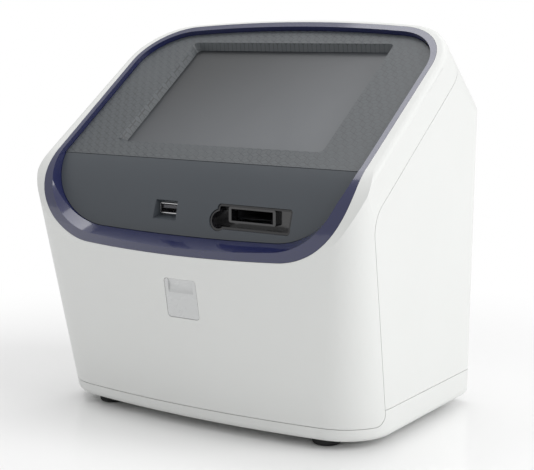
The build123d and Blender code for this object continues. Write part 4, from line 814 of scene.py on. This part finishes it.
class GeometryGraph(NodeGraph):
    """A geometry node tree with named inputs that ends in realized, painted mesh."""

    def __init__(self, name: str, sizes: dict[str, float]) -> None:
        """Starts a tree.

        Args:
            name: Name of the tree.
            sizes: Named inputs with their first values.
        """
        super().__init__(bpy.data.node_groups.new(name, "GeometryNodeTree"))
        self.tree.interface.new_socket(name="Geometry", in_out="INPUT", socket_type="NodeSocketGeometry")
        self.keys: dict[str, str] = {}
        for label, value in sizes.items():
            socket = self.tree.interface.new_socket(name=label, in_out="INPUT", socket_type="NodeSocketFloat")
            socket.default_value = value
            self.keys[label] = socket.identifier
        self.tree.interface.new_socket(name="Geometry", in_out="OUTPUT", socket_type="NodeSocketGeometry")
        self.source = self.add("NodeGroupInput")
        self.sizes = sizes

    def size(self, label: str) -> bpy.types.NodeSocket:
        """The socket of a named input."""
        return self.source.outputs[label]

    def vector(self, x: Any = 0.0, y: Any = 0.0, z: Any = 0.0) -> bpy.types.NodeSocket:
        """A vector from three numbers or sockets."""
        return self.add("ShaderNodeCombineXYZ", {0: x, 1: y, 2: z}).outputs[0]

    def painted(self, geometry: bpy.types.NodeSocket, slot: str) -> bpy.types.NodeSocket:
        """Gives geometry a material.

        Args:
            geometry: The geometry socket.
            slot: Name of the finish.

        Returns:
            The painted geometry.
        """
        return self.add("GeometryNodeSetMaterial", {"Geometry": geometry,
                                                    "Material": FinishShelf.get(slot)}).outputs[0]

    def moved(self, geometry: bpy.types.NodeSocket, x: Any = 0.0, y: Any = 0.0, z: Any = 0.0,
              turn: Sequence[float] = (0.0, 0.0, 0.0)) -> bpy.types.NodeSocket:
        """Moves and turns geometry.

        Args:
            geometry: The geometry socket.
            x: Move along X.
            y: Move along Y.
            z: Move along Z.
            turn: Turn in radians about X, Y and Z.

        Returns:
            The moved geometry.
        """
        return self.add("GeometryNodeTransform", {"Geometry": geometry, "Translation": self.vector(x, y, z),
                                                  "Rotation": turn}).outputs[0]

    def join(self, *parts: bpy.types.NodeSocket) -> bpy.types.NodeSocket:
        """Joins geometry."""
        node = self.add("GeometryNodeJoinGeometry")
        for part in parts:
            self.tree.links.new(part, node.inputs[0])
        return node.outputs[0]

    def finish(self, geometry: bpy.types.NodeSocket, slot: Optional[str] = None) -> None:
        """Ends the tree: instances are realized and the material is set.

        Args:
            geometry: The last geometry socket.
            slot: Name of the finish, or None where the parts are already painted.
        """
        real = self.add("GeometryNodeRealizeInstances", {0: geometry}).outputs[0]
        if slot:
            real = self.painted(real, slot)
        out = self.add("NodeGroupOutput")
        self.tree.links.new(real, out.inputs[0])

    def grow(self, name: str, seeds: Sequence[Vector], crease_deg: float = 35.0,
             **sizes: float) -> bpy.types.Object:
        """Runs the tree on seed points and gives a plain mesh.

        Args:
            name: Name of the piece.
            seeds: Points that the tree starts from.
            crease_deg: Edges sharper than this stay sharp.
            sizes: Values for the named inputs, with spaces written as underscores.

        Returns:
            The plain object.
        """
        mesh = bpy.data.meshes.new(name)
        mesh.from_pydata([tuple(s) for s in seeds], [], [])
        obj = link(bpy.data.objects.new(name, mesh))
        modifier = obj.modifiers.new("grow", "NODES")
        modifier.node_group = self.tree
        for label, value in {**self.sizes, **{k.replace("_", " "): v for k, v in sizes.items()}}.items():
            modifier[self.keys[label]] = value
        obj = baked(obj)
        smooth(obj.data, crease_deg)
        return obj


SCREW_SKIRT = 0.62
SCREW_DOME_TOP = 0.72
CROSS_WIDTH = 0.26
CROSS_DROP = 1.02
CAP_LENGTH = 0.22
CAP_PROUD = 1.06
PART_SIZES = (0.7, 1.25)


def screw_tree() -> GeometryGraph:
    """Pan head screws with a cross recess, one on each seed point, pointing up.

    Returns:
        The tree.
    """
    graph = GeometryGraph("pan_head_screws", {"Head radius": 2.8 * MM, "Head height": 2.0 * MM,
                                              "Shank radius": 1.2 * MM, "Shank length": 10 * MM,
                                              "Recess": 2.6 * MM})
    head_r, head_h = graph.size("Head radius"), graph.size("Head height")
    disc = graph.add("GeometryNodeMeshCylinder", {"Vertices": 28, "Radius": head_r,
                                                  "Depth": graph.math("MULTIPLY", head_h, SCREW_SKIRT)})
    low = graph.moved(disc.outputs[0], z=graph.math("MULTIPLY", head_h, -SCREW_SKIRT / 2))
    cone = graph.add("GeometryNodeMeshCone", {"Vertices": 28, "Radius Bottom": head_r,
                                              "Radius Top": graph.math("MULTIPLY", head_r, SCREW_DOME_TOP),
                                              "Depth": graph.math("MULTIPLY", head_h, 1.0 - SCREW_SKIRT)})
    dome = graph.moved(cone.outputs[0], z=graph.math("MULTIPLY", head_h, -SCREW_SKIRT), turn=(math.pi, 0, 0))
    recess = graph.size("Recess")
    slots = []
    for wide, deep in ((recess, graph.math("MULTIPLY", recess, CROSS_WIDTH)),
                       (graph.math("MULTIPLY", recess, CROSS_WIDTH), recess)):
        bar = graph.add("GeometryNodeMeshCube", {"Size": graph.vector(wide, deep, head_h)})
        slots.append(graph.moved(bar.outputs[0], z=graph.math("MULTIPLY", head_h, -CROSS_DROP)))
    head = graph.join(low, dome)
    cut = graph.add("GeometryNodeMeshBoolean", operation="DIFFERENCE")
    graph.tree.links.new(head, cut.inputs[0])
    graph.tree.links.new(graph.join(*slots), cut.inputs[1])
    length = graph.size("Shank length")
    shank = graph.add("GeometryNodeMeshCylinder", {"Vertices": 16, "Radius": graph.size("Shank radius"),
                                                   "Depth": length})
    shank_up = graph.moved(shank.outputs[0], z=graph.math("MULTIPLY", length, 0.5))
    screw = graph.join(cut.outputs[0], shank_up)
    rows = graph.add("GeometryNodeInstanceOnPoints", {"Points": graph.source.outputs["Geometry"],
                                                      "Instance": screw})
    graph.finish(rows.outputs[0], "screw_steel")
    return graph


def coil_tree() -> GeometryGraph:
    """A wire coil along Z on each seed point.

    Returns:
        The tree.
    """
    graph = GeometryGraph("wire_coil", {"Coil radius": 2.6 * MM, "Wire radius": 0.4 * MM, "Length": 14 * MM,
                                        "Turns": 6.0})
    coil = graph.add("GeometryNodeCurveSpiral", {"Resolution": 24, "Rotations": graph.size("Turns"),
                                                 "Start Radius": graph.size("Coil radius"),
                                                 "End Radius": graph.size("Coil radius"),
                                                 "Height": graph.size("Length")})
    ring = graph.add("GeometryNodeCurvePrimitiveCircle", {"Resolution": 10,
                                                          "Radius": graph.size("Wire radius")})
    wire = graph.add("GeometryNodeCurveToMesh", {"Curve": coil.outputs[0], "Profile Curve": ring.outputs[0],
                                                 "Fill Caps": True})
    rows = graph.add("GeometryNodeInstanceOnPoints", {"Points": graph.source.outputs["Geometry"],
                                                      "Instance": wire.outputs[0]})
    graph.finish(rows.outputs[0], "screw_steel")
    return graph


def lead_screw_tree() -> GeometryGraph:
    """A threaded rod along Z: a core with a raised helical ridge.

    Returns:
        The tree.
    """
    graph = GeometryGraph("lead_screw", {"Radius": 2.0 * MM, "Ridge": 0.25 * MM, "Length": 30 * MM,
                                         "Turns": 20.0})
    core_r = graph.math("SUBTRACT", graph.size("Radius"), graph.size("Ridge"))
    core = graph.add("GeometryNodeMeshCylinder", {"Vertices": 24, "Radius": core_r,
                                                  "Depth": graph.size("Length")})
    core_up = graph.moved(core.outputs[0], z=graph.math("MULTIPLY", graph.size("Length"), 0.5))
    helix = graph.add("GeometryNodeCurveSpiral", {"Resolution": 18, "Rotations": graph.size("Turns"),
                                                  "Start Radius": core_r, "End Radius": core_r,
                                                  "Height": graph.size("Length")})
    ridge = graph.add("GeometryNodeCurvePrimitiveCircle", {"Resolution": 5, "Radius": graph.size("Ridge")})
    thread = graph.add("GeometryNodeCurveToMesh", {"Curve": helix.outputs[0],
                                                   "Profile Curve": ridge.outputs[0], "Fill Caps": True})
    rows = graph.add("GeometryNodeInstanceOnPoints", {"Points": graph.source.outputs["Geometry"],
                                                      "Instance": graph.join(core_up, thread.outputs[0])})
    graph.finish(rows.outputs[0], "screw_steel")
    return graph


def parts_tree() -> GeometryGraph:
    """Small parts in rows on a board that faces -Y: bodies with bright end caps, in seeded sizes.

    Returns:
        The tree.
    """
    graph = GeometryGraph("board_small_parts", {"Width": 1.6 * MM, "Height": 0.8 * MM, "Seed": 7.0})
    wide, high = graph.size("Width"), graph.size("Height")
    body = graph.add("GeometryNodeMeshCube", {"Size": graph.vector(wide, high, high)})
    caps = []
    for side in (-0.5, 0.5):
        cap = graph.add("GeometryNodeMeshCube", {"Size": graph.vector(
            graph.math("MULTIPLY", wide, CAP_LENGTH), graph.math("MULTIPLY", high, CAP_PROUD),
            graph.math("MULTIPLY", high, CAP_PROUD))})
        caps.append(graph.moved(cap.outputs[0], x=graph.math("MULTIPLY", wide, side)))
    part = graph.join(graph.painted(body.outputs[0], "chip_black"),
                      graph.painted(graph.join(*caps), "sheet_steel"))
    seated = graph.moved(part, y=graph.math("MULTIPLY", high, -0.5))
    seed = graph.add("FunctionNodeRandomValue", {2: PART_SIZES[0], 3: PART_SIZES[1],
                                                 "Seed": graph.size("Seed")}, data_type="FLOAT")
    rows = graph.add("GeometryNodeInstanceOnPoints", {"Points": graph.source.outputs["Geometry"],
                                                      "Instance": seated, "Scale": seed.outputs[1]})
    graph.finish(rows.outputs[0])
    return graph


def contact_tree() -> GeometryGraph:
    """Flat contact strips along Y on the seed points.

    Returns:
        The tree.
    """
    graph = GeometryGraph("contact_strips", {"Width": 1.0 * MM, "Length": 7.0 * MM, "Thickness": 0.16 * MM})
    strip = graph.add("GeometryNodeMeshCube", {"Size": graph.vector(graph.size("Width"), graph.size("Length"),
                                                                    graph.size("Thickness"))})
    rows = graph.add("GeometryNodeInstanceOnPoints", {"Points": graph.source.outputs["Geometry"],
                                                      "Instance": strip.outputs[0]})
    graph.finish(rows.outputs[0], "contact_gold")
    return graph


# Sub-assemblies

@dataclass
class SubAssembly:
    """Solids that keep their exact shape and get their finish."""

    nodes: tuple[str, ...] = ()

    def dress(self, node: str) -> bpy.types.Object:
        """Gives one solid its finish.

        Args:
            node: Name of the solid.

        Returns:
            The solid's object.
        """
        obj = frame["nodes"][node]
        for place in obj.material_slots:
            place.material = FinishShelf.get(SLOT_OF[node])
        LOG.info("%s is dressed in %s", node, SLOT_OF[node])
        return obj

    def build(self) -> list[bpy.types.Object]:
        """Dresses every solid of the sub-assembly.

        Returns:
            The dressed pieces.
        """
        return [self.dress(node) for node in self.nodes]


@dataclass
class CaseShells(SubAssembly):
    """The three mouldings of the case, the door and the feet."""

    nodes: tuple[str, ...] = ("front_shell", "rear_shell", "base_pan", "rubber_feet", "rear_door")


@dataclass
class FaceRing(SubAssembly):
    """Glossy ring round the face."""

    nodes: tuple[str, ...] = ("trim_ring",)


@dataclass
class ScreenPanel(SubAssembly):
    """Bezel with its line tiling, the touch glass and what is behind it."""

    nodes: tuple[str, ...] = ("screen_bezel", "touch_glass", "display_module", "display_bracket")


@dataclass
class LowerPanel(SubAssembly):
    """Curved lower fascia and the bare plate in the front."""

    nodes: tuple[str, ...] = ("lower_fascia", "badge_plate")


@dataclass
class PortSet(SubAssembly):
    """Slide port and USB port."""

    nodes: tuple[str, ...] = ("slide_port", "usb_shell", "usb_tongue", "usb_board")
    contacts: int = 4
    contact_pitch: float = 2.5 * MM
    contact_drop: float = 2.0 * MM
    contact_inset: float = 4.5 * MM

    def build(self) -> list[bpy.types.Object]:
        """Dresses the ports and adds the contacts of the tongue.

        Returns:
            The new pieces.
        """
        made = super().build()
        low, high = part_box("usb_tongue")
        first = (low.x + high.x) / 2 - (self.contacts - 1) / 2 * self.contact_pitch
        inset, level = low.y + self.contact_inset, high.z - self.contact_drop
        seeds = [Vector((first + i * self.contact_pitch, inset, level)) for i in range(self.contacts)]
        strips = contact_tree().grow("usb_contacts", seeds)
        made.append(add_on(strips, "housing"))
        return made


@dataclass
class SlideDrive(SubAssembly):
    """Carriage, its guide and its spring."""

    nodes: tuple[str, ...] = ("carriage_guide", "slide_carriage")
    joint: str = "carriage_slide"
    turns: float = 6.0
    wire: float = 0.4 * MM

    def build(self) -> list[bpy.types.Object]:
        """Dresses the drive and winds the spring.

        Returns:
            The new pieces.
        """
        made = super().build()
        low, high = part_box("carriage_spring")
        length = high.y - low.y - 2 * self.wire
        coil = coil_tree().grow("carriage_spring_coil", [Vector((0.0, 0.0, 0.0))], Turns=self.turns,
                                Length=length, Wire_radius=self.wire,
                                Coil_radius=(high.x - low.x) / 2 - self.wire)
        place = Vector(((low.x + high.x) / 2, low.y + self.wire, (low.z + high.z) / 2))
        coil.data.transform(Matrix.Translation(place) @ Matrix.Rotation(math.radians(-90), 4, "X"))
        made.append(hand_over(coil, "carriage_spring"))
        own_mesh(coil)
        return made


@dataclass
class Optics(SubAssembly):
    """Frame, focus stage, cube changer, mirror, tube, camera and lamp."""

    nodes: tuple[str, ...] = ("optical_frame", "focus_bracket", "guide_rods", "focus_stage", "objective",
                              "objective_lenses", "focus_motor", "cube_slider", "light_cube_a",
                              "light_cube_b", "cube_plates", "cube_lamps", "changer_rods", "changer_motor",
                              "mirror_mount", "fold_mirror", "tube_barrel", "tube_lens", "camera_board",
                              "lamp_housing", "condenser_lens", "lamp_board")
    pitch: float = 1.0 * MM
    thread_clear: float = 0.02 * MM

    def threaded(self, node: str, axis: Axis3) -> bpy.types.Object:
        """Replaces a plain lead screw by a threaded one.

        Args:
            node: Name of the solid.
            axis: The way that it points.

        Returns:
            The new piece.
        """
        low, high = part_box(node)
        size = high - low
        length = size.dot(axis.vector)
        radius = (size.x + size.y + size.z - length) / 4
        rod = lead_screw_tree().grow(node + "_thread", [Vector((0.0, 0.0, 0.0))], Length=length,
                                     Radius=radius - self.thread_clear, Turns=length / self.pitch)
        start = (low + high) / 2 - axis.vector * (length / 2)
        turn = axis.vector.to_track_quat("Z", "Y").to_matrix().to_4x4()
        rod.data.transform(Matrix.Translation(start) @ turn)
        return hand_over(rod, node)

    def build(self) -> list[bpy.types.Object]:
        """Dresses the optics and cuts the two threads.

        Returns:
            The new pieces.
        """
        made = super().build()
        made.append(self.threaded("focus_screw", Axis3.UP))
        made.append(self.threaded("changer_screw", Axis3.RIGHT))
        return made


@dataclass
class RearPanel(SubAssembly):
    """Switch, inlet and hinge pin."""

    nodes: tuple[str, ...] = ("hinge_pin", "switch_body", "switch_blades", "power_rocker", "dc_inlet",
                              "inlet_nut")


@dataclass
class Electronics(SubAssembly):
    """Main board with its chips and rows of small parts."""

    nodes: tuple[str, ...] = ("main_board", "board_chips")
    columns: int = 14
    rows: int = 5
    spread: float = 3.4 * MM
    margin_x: float = 12 * MM
    margin_z: float = 19 * MM

    def build(self) -> list[bpy.types.Object]:
        """Dresses the board and sets the small parts.

        Returns:
            The new pieces.
        """
        made = super().build()
        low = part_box("main_board")[0]
        left, bottom = low.x + self.margin_x, low.z + self.margin_z
        seeds = [Vector((left + i * self.spread, low.y, bottom + j * self.spread))
                 for i in range(self.columns) for j in range(self.rows)]
        small = parts_tree().grow("board_small_parts", seeds)
        made.append(add_on(small, "housing"))
        return made


@dataclass
class Fasteners:
    """The screws of the listed solids, made again with a cross recess where each solid is."""

    sets: tuple[tuple[str, Axis3], ...] = (("case_screws", Axis3.UP), ("display_screws", Axis3.OUT_OF_SLOPE),
                                           ("usb_screws", Axis3.FRONT), ("board_screws", Axis3.BACK))
    head_radius: float = 2.8 * MM
    head_height: float = 2.0 * MM

    def islands(self, node: str) -> list[list[Vector]]:
        """Splits a solid's mesh into its separate pieces.

        Args:
            node: Name of the solid.

        Returns:
            The points of each piece.
        """
        work = bmesh.new()
        work.from_mesh(frame["nodes"][node].data)
        bmesh.ops.remove_doubles(work, verts=work.verts, dist=MERGE_DISTANCE)
        left = set(work.verts)
        found = []
        while left:
            stack, piece = [left.pop()], []
            while stack:
                vert = stack.pop()
                piece.append(vert.co.copy())
                for edge in vert.link_edges:
                    other = edge.other_vert(vert)
                    if other in left:
                        left.remove(other)
                        stack.append(other)
            found.append(piece)
        work.free()
        return found

    def build(self) -> list[bpy.types.Object]:
        """Makes each set of screws.

        Returns:
            The new pieces.
        """
        tree = screw_tree()
        made = []
        for node, axis in self.sets:
            turn = axis.vector.to_track_quat("Z", "Y").to_matrix().to_4x4()
            back = turn.inverted()
            seats, reach = [], 0.0
            for piece in self.islands(node):
                local = [back @ p for p in piece]
                lows = Vector([min(p[i] for p in local) for i in range(3)])
                highs = Vector([max(p[i] for p in local) for i in range(3)])
                seats.append(Vector(((lows.x + highs.x) / 2, (lows.y + highs.y) / 2,
                                     lows.z + self.head_height)))
                reach = max(reach, highs.z - lows.z - self.head_height)
            screws = tree.grow(node + "_cross", seats, Shank_length=reach, Head_radius=self.head_radius,
                               Head_height=self.head_height)
            screws.data.transform(turn)
            made.append(hand_over(screws, node))
        return made


@dataclass
class PlainSteel(SubAssembly):
    """Screws that point two ways in one solid keep its shape."""

    nodes: tuple[str, ...] = ("frame_screws",)


# Studio

@dataclass(frozen=True)
class SoftBox:
    """A soft lamp with a rectangular face: where it is, what it points at, its width, height and watts."""

    name: str
    place: tuple[float, float, float]
    aim: tuple[float, float, float]
    size: tuple[float, float]
    power: float

    def build(self) -> None:
        """Adds the lamp."""
        data = bpy.data.lights.new(self.name, "AREA")
        data.shape = "RECTANGLE"
        data.size, data.size_y = self.size
        data.energy = self.power
        obj = link(bpy.data.objects.new(self.name, data))
        obj.location = self.place
        obj.rotation_euler = (Vector(self.aim) - Vector(self.place)).to_track_quat("-Z", "Y").to_euler()


@dataclass
class Studio:
    """Camera, soft lamps, floor and background."""

    camera_place: tuple[float, float, float] = (0.4602, -0.6529, 0.2229)
    azimuth_deg: float = 34.748
    pitch_deg: float = 8.545
    lens: float = 91.67
    sensor_width: float = 36.0
    floor_size: float = 12.0
    floor_colour: Colour = (0.96, 0.96, 0.96)
    floor_near: float = 0.17
    floor_far: float = 0.42
    floor_roughness: float = 0.12
    floor_mottle: float = 0.04
    floor_noise: float = 30.0
    sky: float = 0.62
    lamps: tuple[SoftBox, ...] = (SoftBox("key_box", (1.6, 0.2, 1.1), (0.0, 0.0, 0.12), (1.2, 1.2), 16.0),
                                  SoftBox("top_box", (-0.3, 0.3, 1.7), (0.0, 0.0, 0.1), (1.6, 1.0), 10.0))

    def camera(self) -> None:
        """Sets the camera at the photograph's viewing angle."""
        data = bpy.data.cameras.new("studio_camera")
        data.lens = self.lens
        data.sensor_width = self.sensor_width
        obj = link(bpy.data.objects.new("studio_camera", data))
        obj.location = self.camera_place
        obj.rotation_euler = (math.radians(90 - self.pitch_deg), 0.0, math.radians(self.azimuth_deg))
        bpy.context.scene.camera = obj

    def world(self) -> None:
        """Makes the background white to the eye and plain to the light."""
        world = bpy.data.worlds.new("studio_world")
        bpy.context.scene.world = world
        world.use_nodes = True
        graph = ShaderGraph(world.node_tree)
        back = world.node_tree.nodes["Background"]
        rays = graph.add("ShaderNodeLightPath")
        seen = graph.math("MAXIMUM", rays.outputs["Is Camera Ray"], rays.outputs["Is Transmission Ray"])
        strength = graph.math("MULTIPLY_ADD", seen, 1.0 - self.sky, self.sky)
        back.inputs["Color"].default_value = (1.0, 1.0, 1.0, 1.0)
        world.node_tree.links.new(strength, back.inputs["Strength"])

    def floor(self) -> None:
        """Lays the pale glossy floor, which fades to white away from the part."""
        mesh = bpy.data.meshes.new("studio_floor")
        half = self.floor_size / 2
        mesh.from_pydata([(-half, -half, 0), (half, -half, 0), (half, half, 0), (-half, half, 0)], [],
                         [(0, 1, 2, 3)])
        obj = link(bpy.data.objects.new("studio_floor", mesh))
        material = bpy.data.materials.new("studio_floor")
        material.use_nodes = True
        graph = ShaderGraph(material.node_tree)
        shader = material.node_tree.nodes["Principled BSDF"]
        place = graph.add("ShaderNodeTexCoord").outputs["Object"]
        noise = graph.add("ShaderNodeTexNoise", {"Vector": place, "Scale": self.floor_noise})
        shader.inputs["Base Color"].default_value = rgba(self.floor_colour)
        rough = graph.math("MULTIPLY_ADD", noise.outputs[0], self.floor_mottle, self.floor_roughness)
        graph.tree.links.new(rough, shader.inputs["Roughness"])
        away = graph.add("ShaderNodeVectorMath", {0: place}, operation="LENGTH").outputs["Value"]
        far = graph.ramp(away, self.floor_near, self.floor_far)
        plain = graph.add("ShaderNodeEmission", {"Color": (1.0, 1.0, 1.0, 1.0), "Strength": 1.0})
        rays = graph.add("ShaderNodeLightPath")
        seen = graph.math("MAXIMUM", rays.outputs["Is Camera Ray"], rays.outputs["Is Glossy Ray"])
        mixed = graph.add("ShaderNodeMixShader", {0: graph.math("MULTIPLY", seen, far), 1: shader.outputs[0],
                                                  2: plain.outputs[0]})
        output = material.node_tree.nodes["Material Output"]
        graph.tree.links.new(mixed.outputs[0], output.inputs["Surface"])
        mesh.materials.append(material)

    def build(self) -> None:
        """Builds the studio."""
        self.camera()
        self.world()
        self.floor()
        for lamp in self.lamps:
            lamp.build()
        bpy.context.scene.view_settings.view_transform = "Standard"


def main() -> None:
    """Builds the studio and every sub-assembly, and reports the pieces."""
    logging.basicConfig(level=logging.INFO, format="%(name)s: %(message)s")
    Studio().build()
    groups: Iterable[Any] = (CaseShells(), FaceRing(), ScreenPanel(), LowerPanel(), PortSet(), SlideDrive(),
                             Optics(), RearPanel(), Electronics(), Fasteners(), PlainSteel())
    total = 0
    for group in groups:
        made = group.build()
        total += len(made)
        LOG.info("%s: %d pieces", type(group).__name__, len(made))
    LOG.info("%d pieces in all", total)


if __name__ == "__main__":
    main()
